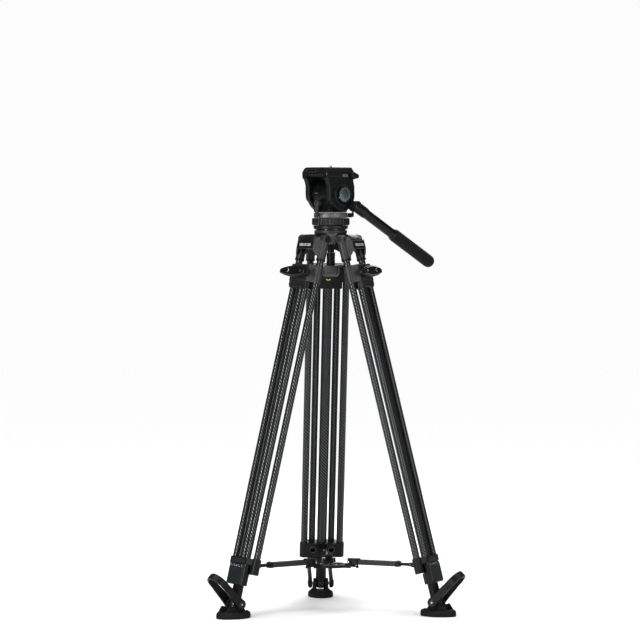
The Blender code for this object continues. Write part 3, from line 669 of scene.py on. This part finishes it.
def paddle(n, place):
    reach = (PADDLE_HALF**2 + PADDLE_BOW**2) / (2 * PADDLE_BOW)
    half = degrees(asin(PADDLE_HALF / reach))

    def lens(inset):
        upper = arc((0, PADDLE_Z + PADDLE_TALL - reach - inset), reach, 90 - half, 90 + half, 20)
        lower = arc((0, PADDLE_Z - PADDLE_TALL + reach + inset), reach, 270 - half, 270 + half, 20)
        return [p for p in upper + lower if abs(p[0]) < 61 - 4 * inset]

    forms = [
        prism(lens(0), 32, 42.5, "XZ", PLASTIC, 2.4, 3),
        prism(lens(3), 41, 45.6, "XZ", GLOSSY, 1.6, 3),
        prism(lens(2.5), 30.2, 33, "XZ", CAST, 1.0),
        block((-12.6, 25, -99), (12.6, 33, -84.5), PLASTIC, 1),
        across(-15, 15, 29, -81.5, 2.4, STEEL, 20, 0.4),
    ]
    far = -1 if n == 3 else 1
    for bend in (-1, 1):
        mark = [(14, -92), (20, -92 + 5 * bend), (22.8, -92 + 5 * bend), (17.2, -92)]
        forms.append(prism([(far * x, z) for x, z in mark], 45.2, 46, "XZ", PALE, 0.15, 1))
    forms.append(screw((-far * 32, 45.3, -92), (0, 1, 0), STEEL, 2.4))
    piece(f"leg_{n}_paddle_grip", place, f"leg_{n}_paddle", forms, f"leg_{n}_paddle")


def spreader_collar(n, place):
    body = prism(mirrored([(52, -8), (52, 6), (35, 23)]), -830, -813.4, "XY", CAST, 0)
    web = block((-50, -11.8, -851.5), (50, -2, -814), CAST, 0)
    windows = [bar((s * 24, -20, -830), (s * 24, 0, -830), 7.5, CAST, 28, 0) for s in (-1, 1)]
    forms = [soften(body, 1.6, 3), carve(web, windows, 1.0)]
    for side in (-1, 1):
        x = side * OUTER_X
        forms += [
            bar((x, 0, -851.8), (x, 0, -813.2), 11.4, CAST, 48, 1.3),
            ring(8.8, 11, -812.6, -815, GLOSSY, 48, 0.3, place=move(x, 0, 0)),
            # Pale rings round the windows: painted highlight.
            ring(7.4, 8.3, 0.2, 1, PALE_MARKS_AND_PAINTED_LIGHT, 40, 0.2, move(side * 24, -11.3, -830) @ turn(90, "X")),
        ]
        low, high = span(side, 7.6, 11.6)
        forms += [
            block((low, -30, -833), (high, -10, -821), CAST, 0.8),
            across(side * 7.6, side * 11.6, LUG_Y, LUG_Z, 6, CAST, bevel=0.6),
            screw((side * 11.5, LUG_Y, LUG_Z), (side, 0, 0), OXIDE, 2.6),
            screw((side * 43.4, 14.6, -821), (side * 0.7, 0.7, 0), OXIDE, 2.2),
        ]
    forms.append(across(-11, 11, LUG_Y, LUG_Z, 2.6, STEEL, 20, 0.3))
    forms.append(block((-31, 22, -826.5), (31, 23.9, -817), COVER, 0.7))
    piece(f"leg_{n}_spreader_collar_casting", place, f"leg_{n}", forms, f"leg_{n}_spreader_collar")


def sleeve(n, place):
    forms = [
        prism([(3, -831.4), (23.4, -831.4), (24.8, -834), (24.8, -878), (23, -881.6), (3, -881.6)],
              -30, 30, "YZ", COVER, 2.0, 3),
        prism([(-9.3, -853.2), (5, -853.2), (5, -881.6), (-9.3, -881.6)], -14, 14, "YZ", CAST, 2.5, 3),
        bar((0, CENTRE_Y, -881.9), (0, CENTRE_Y, -853), 15.3, CAST, 64, 1.2),
    ]
    for side in (-1, 1):
        x = side * INNER_X
        forms += [
            bar((x, 12, -881.8), (x, 12, -831.2), 10.6, CAST, 48, 1.3),
            ring(8.4, 10.4, -830.9, -833, GLOSSY, 48, 0.3, place=move(x, INNER_Y - 2, 0)),
            screw((side * 22, 24.6, -873), (0, 1, 0), OXIDE, 2.2),
        ]
    for k in range(7):
        at = -24 + 8 * k
        tick = [(at - 1.2, -838), (at + 0.8, -832.5), (at + 2.4, -832.5), (at + 0.4, -838)]
        forms.append(prism(tick, 24.2, 25, "XZ", STEEL if k % 2 else PALE, 0.15, 1))
    piece(f"leg_{n}_sleeve_cover", place, f"leg_{n}_stage_2", forms, f"leg_{n}_sleeve")


def oval(scale_x, scale_y):
    turns = [tau * k / 48 for k in range(48)]
    return [(32.4 * scale_x * cos(a), 4 + 46 * scale_y * sin(a)) for a in turns]


def foot(n, azimuth):
    place, height = ankle_frame(azimuth)
    low, top = -height, -height + 16
    sole = ((0, 0.95), (1.4, 0.99), (4, 1.0), (8, 1.0), (11, 0.985), (13.6, 0.94), (15.2, 0.86),
            (15.8, 0.76))
    forms = [lofted([(low + z, oval(s, (s + 1) / 2)) for z, s in sole], RUBBER)]
    forms.append(lofted([(low + 4.6, oval(1.012, 1.008)), (low + 6.2, oval(1.012, 1.008))], RUBBER, 0.4))
    deck = top - 1.5
    cheek = [(-29, deck), (-20, deck + 4), (-13.5, deck + 13)] + arc((0, 0), 12.6, 170, 10, 16)
    cheek += [(16.5, -8), (27, deck + 16), (36, deck + 3), (39, deck)]
    for side in (-1, 1):
        forms.append(prism(cheek, *span(side, 12.9, 18.8), "YZ", RUBBER, 1.2, 3))
        forms.append(across(side * 17, side * 33.4, 0, 0, 4, STEEL, 24, 0.4))
        for y in (-24, -12, 10, 24):
            rise = 6 if abs(y) > 20 else 11
            fin = [(side * 18, deck - 1), (side * 18, deck + rise), (side * 27, deck - 1)]
            forms.append(prism(fin, y - 1.4, y + 1.4, "XZ", RUBBER, 0.5))
    ribs = ([(13, deck), (13, deck + 12), (19, deck + 9), (38, deck)],
            [(-13, deck), (-13, deck + 9), (-26, deck)])
    for x in (-12, 12):
        forms += [prism(rib, x - 2, x + 2, "YZ", RUBBER, 0.8) for rib in ribs]
    forms.append(across(-16, 16, 0, 0, 4, STEEL, 24, 0.3))
    forms.append(block((-12.6, -13, deck - 1), (12.6, 20, deck + 2.4), RUBBER, 1))
    piece(f"leg_{n}_foot_pad", place, f"leg_{n}_foot", forms, f"leg_{n}_rubber_foot")


def bail(n, azimuth):
    place, _ = ankle_frame(azimuth)
    place = place @ turn(BAIL_LEAN, "X")
    loop = []
    for x, start, end in ((BAIL_OUTER, 4, 176), (-BAIL_INNER, 176, 4)):
        bend = arc((0, BAIL_BEND), abs(x), start, end, 24)
        loop += [(x, 0), (x, BAIL_BEND - 4), *bend, (-x, BAIL_BEND - 4), (-x, 0)]
    forms = [prism(loop, -8.8, 8.8, "XZ", PLASTIC, 1.9, 3)]
    cheek = [(-8.8, 56), (-10.4, 24)] + arc((0, 0), 12.4, 162, 378, 28) + [(10.4, 24), (8.8, 56)]
    for side in (-1, 1):
        forms += [
            prism(cheek, *span(side, 22.9, 31.6), "YZ", PLASTIC, 1.9, 3),
            across(side * 31, side * 33.2, 0, 0, 9.6, PLASTIC, 48, 1.2),
            ring(5.2, 7.4, 0, 0.6, GLOSSY, 32, 0.15, place=move(side * 33, 0, 0) @ turn(90 * side, "Y")),
            screw((side * 33.1, 0, 0), (side, 0, 0), OXIDE, 4.4),
        ]
        low, high = span(side, 28.6, 30.6)
        forms.append(block((low, -3.2, 14), (high, 3.2, 64), PLASTIC, 0.9))
    for k in range(5):
        x = 7 * k - 14
        crest = BAIL_BEND + sqrt(29.7**2 - x**2)
        forms.append(block((x - 1, -6, crest - 3), (x + 1, 6, crest), PLASTIC, 0.4))
    piece(f"leg_{n}_bail_loop", place, f"leg_{n}_bail", forms, f"leg_{n}_foot_bail")


# Spreader
def spreader_arm(n, azimuth):
    place = arm_frame(azimuth)
    end = LUG_REACH - 38
    sheath = block((-7, HUB_R + 14, -6.5), (7, end, 6.5), GLOSSY, 0)
    bore = block((-4.9, HUB_R + 34, -4.4), (4.9, end + 10, 4.4), GLOSSY, 0)
    forms = [carve(sheath, [bore], 1.0)]
    half = [(5, HUB_R - 7), (11.5, HUB_R), (11.5, HUB_R + 16), (8, HUB_R + 24)]
    forms.append(prism(mirrored(half), -6.8, 8.8, "XY", PLASTIC, 1.5, 3))
    forms.append(across(-17, 17, HUB_R, 0, 3, STEEL, 24, 0.4))
    for k in range(4):
        y = HUB_R + 3 + 3.6 * k
        forms.append(block((-11.9, y, -5), (11.9, y + 1.5, 7.6), PLASTIC, 0.4))
    forms.append(block((-7.6, end - 12, -7.1), (7.6, end - 0.5, 7.1), PLASTIC, 1.0))
    forms.append(bar((0, end - 6, 6.8), (0, end - 6, 8.6), 3.4, STEEL, 24, 0.3))
    knob = [(0, -6), (2.2, -6), (2.2, -9.5), (3.6, -10.5), (3.6, -14.4), (2.6, -15.5), (0, -15.5)]
    forms.append(lathe(knob, PLASTIC, 24, place=move(0, HUB_R + 18, 0)))
    for x in (-6.6, 6.6):
        for z in (-2.6, 1.6):
            forms.append(block((x - 0.6, HUB_R + 30, z), (x + 0.6, end - 16, z + 1), GLOSSY, 0.2))
    piece(f"spreader_arm_{n}_sheath", place, f"spreader_arm_{n}", forms, f"spreader_arm_{n}")


def spreader_rod(n, azimuth):
    place = arm_frame(azimuth)
    forms = [block((-4.2, HUB_R + 60, -3.7), (4.2, LUG_REACH - 8, 3.7), PLASTIC, 0.8)]
    eye = across(-7.2, 7.2, LUG_REACH, 0.05, 5.4, PLASTIC, bevel=0)
    neck = block((-7.2, LUG_REACH - 14, -4.3), (7.2, LUG_REACH, 4.4), PLASTIC, 0)
    hole = across(-12, 12, LUG_REACH, 0.05, 3, PLASTIC, bevel=0)
    forms += [
        carve(eye, [hole], 0.7, 2, [neck]),
        block((-3, HUB_R + 64, 3.2), (3, LUG_REACH - 16, 4.1), STEEL, 0.3),
        screw((7.1, LUG_REACH - 9, 0), (1, 0, 0), STEEL, 1.8),
    ]
    piece(f"spreader_rod_{n}_bar", place, f"spreader_rod_{n}", forms, f"spreader_rod_{n}")


def spreader_hub():
    place = arm_frame(90)
    plate = lathe([(0, -8.8), (46, -8.8), (46, -15), (0, -15)], PLASTIC, 72)
    ears, slots = [], []
    ear = [(28, -15), (61.5, -15), (61.5, 4), (58.3, 4), (58.3, -3.3), (48, -3.3), (44, -8.8), (28, -8.8)]
    for azimuth in AZIMUTHS.values():
        here = turn(azimuth - 90)
        ears += [prism(ear, low, low + 4, "YZ", PLASTIC, 0, place=here) for low in (-16.8, 12.8)]
        slots.append(block((-12.4, 38, -20), (12.4, 70, 10), PLASTIC, 0, place=here))
    forms = [
        carve(plate, slots, 0.8, 2, ears),
        lathe([(0, -6.4), (12, -6.4), (13, -7.4), (13, -9), (0, -9)], GLOSSY, 48),
        ring(17, 33, -7.8, -8.9, GLOSSY, 72, 0.3),
        lathe([(0, -14.8), (24, -14.8), (22, -17), (0, -17)], GLOSSY, 48),
    ]
    for azimuth in AZIMUTHS.values():
        here = turn(azimuth - 30)
        forms.append(screw((25, 0, -8), (0, 0, 1), STEEL, 3))
        forms[-1].data.transform(here)
        forms.append(block((36, -9, -14), (46.6, 9, -9.6), GLOSSY, 0.8, place=here))
    piece("spreader_hub_plate", place, "spreader_hub", forms, "spreader_hub")


# Head
def pan_base():
    profile = [(0, 997.2), (40.6, 997.2), (41.6, 996.6), (42.3, 995.4), (42.3, 993.2), (41.9, 992.8)]
    profile += [(41.9, 991.8), (42.4, 991.4), (42.4, 986.4), (42, 985), (40, 984.1), (0, 984.1)]
    forms = [lathe(profile, BRIGHT, 128)]
    for k in range(6):
        turned = k * pi / 3
        forms.append(screw((34 * cos(turned), 34 * sin(turned), 996.4), (0, 0, 1), OXIDE, 2.2))
    forms.append(block((-1, -43, 986), (1, -41.5, 991), PALE, 0.3, place=turn(20)))
    piece("pan_base_turning", HEAD, "pan_turret", forms, "pan_base")


def drag_ring():
    def ribs(a, r):
        wave = cos(32 * a)
        return r - (0 if r < 45.9 else 1.1 * max(0.0, min(1.0, 0.5 - 1.6 * wave)))

    profile = [(30.4, 983.4), (44.4, 983.4), (45.6, 982.9), (46.9, 981.6), (47, 967.4), (45.8, 966)]
    forms = [lathe(profile + [(44.6, 965.3), (30.4, 965.3)], RIBBED, 256, closed=True, wobble=ribs)]
    for k in range(3):
        mat = PALE if k == 0 else RIBBED
        forms.append(block((-3, -46.2, 971), (3, -44.6, 978), mat, 0.4, place=turn(120 * k - 62)))
    piece("pan_drag_ring_ribbed", HEAD, "pan_ring", forms, "pan_drag_ring")


def tilt_drum():
    forms = [across(-29.4, 29.4, 0, TILT_Z, 36.4, CAST, 128, 1.2),
             across(-26, 26, 0, TILT_Z, 36.5, CAST, 128, 0.4)]
    neck = [(-33, 998), (31, 998), (33, 1004), (30, 1012), (24, 1030), (-24, 1030), (-31, 1012),
            (-34.5, 1003)]
    forms.append(prism(neck, -27, 27, "YZ", CAST, 2.4, 3))
    forms.append(lathe([(0, 1003), (34, 1003), (38, 999), (38.4, 997.9), (0, 997.9)], CAST, 96))
    shroud = arc((0, TILT_Z), 37.6, 178, 258, 16) + arc((0, TILT_Z), 33, 258, 178, 16)
    forms += [
        prism(shroud, -21, 21, "YZ", CAST, 0.7),
        prism(arc((0, TILT_Z), 38.1, 172, 176, 3) + arc((0, TILT_Z), 36, 176, 172, 3),
              -19, -9, "YZ", PALE_MARKS_AND_PAINTED_LIGHT, 0.3),
        bar((0, -41, 1021), (0, -26, 1021), 7, CAST, end_radius=9),
        across(-43.2, 46.2, 0, TILT_Z, 8, STEEL, 48, 0.5),
    ]
    for side in (-1, 1):
        forms.append(screw((side * 17, -28.6, 1065), (0, -0.78, 0.62), OXIDE, 2.4))
    back = arc((0, TILT_Z), 37.4, -50, 60, 18) + arc((0, TILT_Z), 33, 60, -50, 18)
    forms.append(prism(back, -16, 16, "YZ", CAST, 0.7))
    piece("tilt_drum_housing", HEAD, "pan_turret", forms, "tilt_drum")


def tilt_cradle():
    half = [(31, 1096.2), (29, 1103.2), (32.5, 1103.2), (32.6, 1108.4), (34.4, 1108.4), (43.5, 1098)]
    half += [(43.5, 1086), (41, 1081), (29.5, 1081), (29.5, 1091.5)]
    forms = [prism(mirrored(half), -57.8, 39.8, "XZ", SATIN, 1.0, 3)]
    outline = [(-56, 1087), (-50, 1073), (-47, 1064), (-47, 1038), (-43, 1027)]
    outline += arc((0, TILT_Z), 42, 206, 370, 34)
    outline += [(41.5, 1062), (38, 1074), (37, 1084)]
    # The front outline is a slightly proud strip down each cheek's front edge. Its lighter colour is a
    # painted highlight.
    front = [(-56.7, 1086), (-50.7, 1073), (-47.7, 1064), (-47.7, 1038), (-43.6, 1026.6)]
    front += [(-39, 1027), (-43, 1038), (-43, 1066), (-44, 1086)]
    groove = [(-52, 1095.6), (36, 1095.6), (36, 1094.6), (-52, 1094.6)]
    for side in (-1, 1):
        forms += [
            prism(outline, *span(side, 30.1, 43.4), "YZ", SATIN, 2.4, 4),
            prism(front, *span(side, 31.6, 42), "YZ", CAST, 0.8),
            prism(groove, *span(side, 43.2, 43.9), "YZ", CAST, 0.2),
        ]
    # Under the front edge of the platform, and an index mark at its near corner.
    apron = [(-57.4, 1091.7), (-46, 1091.7), (-38, 1086), (-50, 1086)]
    forms.append(prism(apron, -29.6, 29.6, "YZ", SATIN))
    forms.append(block((41.4, -58.4, 1091), (43.9, -56, 1096.5), PALE_MARKS_AND_PAINTED_LIGHT, 0.7))
    # Side disc round the drag dial, with a lighter crescent on its lower right edge that is a painted
    # highlight.
    bowl = [(28.5, 0), (28, 1.6), (26.6, 2.4), (25.4, 2.4), (19.6, 1.2), (19.4, 0)]
    right = move(43.4, 0, TILT_Z) @ turn(90, "Y")
    forms.append(lathe(bowl, SATIN, 96, 0.2, closed=True, place=right))
    # Painted highlight: a lighter crescent on the disc's lower right edge.
    painted_highlight_crescent = arc((0, 0), 27.2, -62, 22, 20) + arc((0, -0.4), 24.4, 22, -62, 20)
    forms.append(prism([(y, TILT_Z + z) for y, z in painted_highlight_crescent], 45.4, 46.2, "YZ", CAST, 0.25))
    cap = [(0, 3.2), (18, 3.2), (20, 2.4), (24, 2.2), (25.4, 0), (0, 0)]
    forms += [
        lathe(cap, CAST_PAINTED_LIT, 96, place=move(-43.3, 0, TILT_Z) @ turn(-90, "Y")),
        screw((-46.4, 0, TILT_Z), (-1, 0, 0), OXIDE, 4.5),
        block((43.2, -2, 1086), (44.2, 17, 1093), PALE_MARKS_AND_PAINTED_LIGHT, 0.8),
        ring(7.6, 9.4, 0, 1, CAST_PAINTED_LIT, 40, 0.2, place=move(-43.2, 20, LOCK_Z) @ turn(-90, "Y")),
    ]
    piece("tilt_cradle_casting", HEAD, "cradle", forms, "tilt_cradle")


def drag_dial():
    def flutes(a, r):
        return r - (0.5 * max(0.0, cos(24 * a)) if r > 17.7 else 0)

    place = HEAD @ move(DIAL_X, 0, TILT_Z) @ turn(90, "Y")
    skirt = [(0, 0), (18.4, 0), (18.6, 0.6), (18.6, 2.8), (17.8, 3.6), (16, 3.9), (0, 3.9)]
    forms = [lathe(skirt, DIAL, 192, wobble=flutes)]
    forms.append(lathe([(0, 5.2), (7, 5.1), (13, 4.6), (15.6, 4), (15.6, 3.6), (0, 3.6)], DIAL, 96))
    for k in range(12):
        forms.append(block((13, -0.4, 4.2), (15, 0.4, 4.7), PALE, 0.1, 1, turn(30 * k)))
    forms.append(block((-2.2, -23.4, 0.6), (2.2, -16.6, 3), GLOSSY, 0.8, place=turn(20)))
    dot = [(0, 3.6), (1.3, 3.4), (1.5, 2.8), (0, 2.8)]
    forms.append(lathe(dot, PALE, 20, place=turn(20) @ move(0, -21, 0)))
    piece("drag_dial_face", place, "dial", forms, "drag_dial")


def slide_plate():
    half = [(30, 1096.8), (28.4, 1103.7), (31.6, 1103.9), (31.8, 1108.6), (30.6, 1109.7)]
    body = prism(mirrored(half), -56.4, 43.8, "XZ", SATIN, 0)
    slots = [block((-3.6, -26, 1090), (3.6, 26, 1115), PLASTIC, 0)]
    slots.append(block((-8, -34, 1090), (8, 34, 1105), PLASTIC, 0))
    forms = [carve(body, slots, 0.8)]
    rim = [(-30.5, 1097.4), (3, 1097.4), (6, 1101.6), (3, 1106), (-27, 1106), (-30.5, 1102)]
    hole = [(-28.6, 1099), (2, 1099), (4, 1101.6), (2, 1104.6), (-26, 1104.6), (-28.6, 1101.6)]
    # The rim round the slot is in the lighter cast copy: painted highlight.
    outlined = prism(rim, -57.6, -56, "XZ", CAST_PAINTED_LIT, 0)
    forms.append(carve(outlined, [prism(hole, -59, -50, "XZ", CAST_PAINTED_LIT, 0)], 0.35))
    # A dark sheet set in the slot's mouth: painted shade.
    forms.append(prism(hole, -56.9, -56.3, "XZ", GLOSSY, 0))
    for side in (-1, 1):
        low, high = span(side, 7, 28.5)
        forms.append(block((low, -48, 1109), (high, 38, 1109.95), RUBBER, 0.3))
        for k in range(18):
            y = -46 + 4.7 * k
            forms.append(block((low + 1, y, 1109.5), (high - 1, y + 1.6, 1110), RUBBER, 0.2, 1))
    for y in (-36, 33):
        forms.append(screw((0, y, 1109.4), (0, 0, 1), STEEL, 2.6))
    piece("slide_plate_body", HEAD, "plate", forms, "slide_plate")


def camera_screw():
    forms = [lathe([(0, 1104.6), (7, 1104.6), (7, 1097.4), (6, 1097.2), (0, 1097.2)], STEEL, 48, 0.4)]
    thread = [(0, 1115), (2.5, 1115)]
    for k in range(8):
        z = 1114.4 - THREAD_PITCH * k
        thread += [(3.1, z), (2.6, z - 0.6)]
    forms.append(lathe(thread + [(3, 1104.5), (0, 1104.5)], STEEL, 40))
    piece("camera_screw_threaded", HEAD, "screw", forms, "camera_screw")


def plate_lock():
    def grip(a, r):
        return r - (0.7 * max(0.0, cos(9 * a)) if r > 8.5 else 0)

    place = HEAD @ move(43.8, 30, LOCK_Z) @ turn(90, "Y")
    profile = [(0, 12.8), (5.5, 12.6), (7.6, 11.4), (9, 9), (9, 3), (7.4, 1.4), (5, 0), (0, 0)]
    forms = [lathe(profile, PLASTIC, 144, wobble=grip)]
    forms.append(screw((0, 0, 12.4), (0, 0, 1), OXIDE, 2.6))
    wing = [(6, -4), (7, 12), (4, 15.5), (-2, 15.5), (-5, 11), (-8, -2)]
    forms.append(prism(wing, 4, 11.6, "XY", PLASTIC, 2.2, 4))
    piece("plate_lock_grip", place, "clamp_knob", forms, "plate_lock_knob")


def release_button():
    place = HEAD @ move(-43.5, 20, LOCK_Z) @ turn(-90, "Y")
    profile = [(0, 4.4), (3.4, 4.4), (4.6, 3.8), (5, 2.8), (5, -0.9), (0, -0.9)]
    forms = [lathe(profile, GLOSSY, 48), ring(2, 2.8, 4.5, 4.2, CAST_PAINTED_LIT, 40)]
    piece("plate_release_cap", place, "release_button", forms, "plate_release_button")


def tilt_lock():
    y, z = -41.3, 1021
    forms = [bar((0, y - 0.2, z), (0, y - 11, z), 8, CAST_PAINTED_LIT, 48, 1.2)]
    shaft = [(-5.2, z), (-4.4, z - 12), (-3.4, z - 30), (-3.6, z - 35), (-2.4, z - 37), (2.4, z - 37)]
    shaft += [(3.6, z - 35), (3.4, z - 30), (4.4, z - 12), (5.2, z)]
    forms.append(prism(shaft, y - 11.4, y - 5.6, "XZ", CAST_PAINTED_LIT, 1.6, 3))
    forms.append(screw((0, y - 10.9, z), (0, -1, 0), OXIDE, 3))
    for k in range(3):
        base = z - 26 - 3 * k
        forms.append(block((-2.6, y - 11.6, base), (2.6, y - 11, base + 1.2), CAST_PAINTED_LIT, 0.2))
    piece("tilt_lock_handle", HEAD, "tilt_lock", forms, "tilt_lock_lever")


def pan_lock():
    z = 990.5
    forms = [
        bar((0, 42.8, z), (0, 53, z), 5.5, PLASTIC),
        block((-3.5, 48, z - 4.2), (3.5, 57.4, z + 2), PLASTIC, 1.3, 3),
        block((-3.4, 53, z - 3), (3.4, 57.4, z + 10.8), PLASTIC, 1.5, 3),
        screw((0, 57.2, z), (0, 1, 0), STEEL, 2),
    ]
    piece("pan_lock_handle", HEAD @ turn(PAN_LOCK_TURN), "pan_lock", forms, "pan_lock_lever")


def bar_clamp():
    low = 43.8 - ROSETTE[0]
    profile = [(0, 9.4), (12, 9.4), (13.2, 8), (12.8, low), (0, low)]
    forms = [lathe(profile, CAST, 64, 0.5, place=turn(90, "Y"))]
    socket = [(12.2, 14), (12.2, 37.8), (13.2, 37.8), (13.6, 36), (13.9, 12), (13.2, 3), (10, 2)]
    socket += [(0, 2), (0, 14)]
    forms += [
        lathe(socket, CAST, 64, place=turn(-90, "X")),
        lathe([(0, 10.6), (6.5, 10.6), (8.2, 9.6), (8.2, 8.4), (0, 8.4)], GLOSSY, 48, place=turn(90, "Y")),
        screw((10.3, 0, 0), (1, 0, 0), OXIDE, 3.2),
    ]
    for k in range(30):
        forms.append(block((low, 10.4, -0.5), (low + 1.4, 12.6, 0.5), STEEL, 0.15, 1, turn(12 * k, "X")))
    piece("bar_clamp_rosette", BAR, "pan_bar", forms, "bar_clamp")


def pan_bar():
    place = BAR @ turn(-90, "X")
    profile = [(0, 16), (11.4, 16), (12, 16.6), (12, 148), (10.2, 151), (10.2, 175.6), (0, 175.6)]
    forms = [lathe(profile, PLASTIC, 64), ring(11.8, 12.6, 40, 38.4, GLOSSY, 64)]
    piece("pan_bar_tube", place, "pan_bar", forms, "pan_bar")


def pan_grip():
    place = BAR @ turn(-90, "X")
    profile = [(0, 312), (5, 311.7), (9.4, 310.4), (12.6, 307.8), (14.8, 303.8), (15.8, 299), (16, 293)]
    profile += [(16, 160), (15.7, 155.5), (14.6, 152.4), (12.8, 151), (10.6, 151)]
    forms = [lathe(profile + [(10.6, 178), (0, 178)], FOAM, 96)]
    made = piece("pan_grip_foam", place, "pan_bar", forms, "pan_grip")
    collar = [(10.4, 147), (13, 147), (13.6, 147.8), (13.6, 150.4), (13, 151.2), (10.4, 151.2)]
    piece("pan_grip_collar", place, "pan_bar", [lathe(collar, GLOSSY, 64, closed=True)])


# Surroundings, in metres and degrees
ROOM_LIGHT, SUN_STRENGTH, SUN_ANGLE, VIEW_GAMMA = 0.11, 3.3, 70, 0.82
LIGHT_AIM = 0.6
# Each soft panel's name, azimuth, elevation, distance, width, height and power.
PANELS = (
    ("key", -40, 8, 2.8, 0.28, 2.6, 62),
    ("front", 32, 12, 3.0, 1.5, 1.6, 30),
    ("back", 165, 20, 3.2, 1.2, 2.0, 30),
)
FLOOR_HALF, FLOOR_GAP = 12, 0.0002
CAMERA_AZIMUTH, CAMERA_PITCH = -5, 2.0
CAMERA_DISTANCE, CAMERA_HEIGHT, CAMERA_LEFT = 8.5, 1.025, 0.027
CAMERA_SENSOR, CAMERA_LENS = 36, 191


def studio():
    scene = bpy.context.scene
    world = bpy.data.worlds.new("studio")
    scene.world = world
    world.use_nodes = True
    tree = world.node_tree
    room = tree.nodes["Background"]
    feed(tree, room, {"Color": (1, 1, 1, 1), "Strength": ROOM_LIGHT})
    backdrop = add(tree, "Background", {"Color": (0.98, 0.98, 0.98, 1)}).outputs[0]
    seen = add(tree, "LightPath", {}).outputs["Is Camera Ray"]
    either = add(tree, "MixShader", {0: seen, 1: room.outputs[0], 2: backdrop})
    feed(tree, tree.nodes["World Output"], {"Surface": either.outputs[0]})
    scene.view_settings.view_transform = "Standard"
    scene.view_settings.gamma = VIEW_GAMMA
    mesh = bpy.data.meshes.new("floor")
    work = bmesh.new()
    bmesh.ops.create_grid(work, x_segments=1, y_segments=1, size=FLOOR_HALF)
    work.to_mesh(mesh)
    work.free()
    floor = shown("floor", mesh)
    floor.location.z = CAD_BOX[0][2] - FLOOR_GAP
    mesh.materials.append(finish_of("floor_pale", 0.86, 0.88, rough=(0.8, 0.9), grain=60,
                                    depth=0.01, gloss=0.1))


def soft_light(name, azimuth, elevation, distance, width, height, power):
    """A soft panel; azimuth 0 is in front of the tripod, and positive to the right."""
    data = bpy.data.lights.new(name, "AREA")
    data.shape = "RECTANGLE"
    data.size, data.size_y, data.energy = width, height, power
    light = shown(name, data)
    a, e = radians(azimuth), radians(elevation)
    target = COLUMN @ Vector((0, 0, LIGHT_AIM))
    way = Vector((sin(a) * cos(e), -cos(a) * cos(e), sin(e)))
    light.location = target + way * distance
    light.rotation_euler = way.to_track_quat("Z", "Y").to_euler()


def camera():
    data = bpy.data.cameras.new("camera")
    data.sensor_width, data.lens = CAMERA_SENSOR, CAMERA_LENS
    made = shown("camera", data)
    a, pitch = radians(CAMERA_AZIMUTH), radians(CAMERA_PITCH)
    axis = COLUMN.translation
    right = Vector((cos(a), sin(a), 0))
    out = Vector((sin(a), -cos(a), 0))
    made.location = axis + out * CAMERA_DISTANCE - right * CAMERA_LEFT + Vector((0, 0, CAMERA_HEIGHT))
    look = -out * cos(pitch) - Vector((0, 0, sin(pitch)))
    made.rotation_euler = (-look).to_track_quat("Z", "Y").to_euler()
    bpy.context.scene.camera = made


camera()
studio()
overhead = bpy.data.lights.new("overhead", "SUN")
overhead.energy, overhead.angle = SUN_STRENGTH, radians(SUN_ANGLE)
shown("overhead", overhead)
for panel in PANELS:
    soft_light(*panel)

for make in (crown, half_ball, tie_down):
    make()
for n, azimuth in AZIMUTHS.items():
    for make in (yoke, tubes, upper_collar, paddle, spreader_collar, sleeve):
        make(n, leg_frame(azimuth))
    for make in (foot, bail, spreader_arm, spreader_rod):
        make(n, azimuth)
for make in (spreader_hub, pan_base, drag_ring, tilt_drum, tilt_cradle, drag_dial, slide_plate,
             camera_screw, plate_lock, release_button, tilt_lock, pan_lock, bar_clamp, pan_bar, pan_grip):
    make()
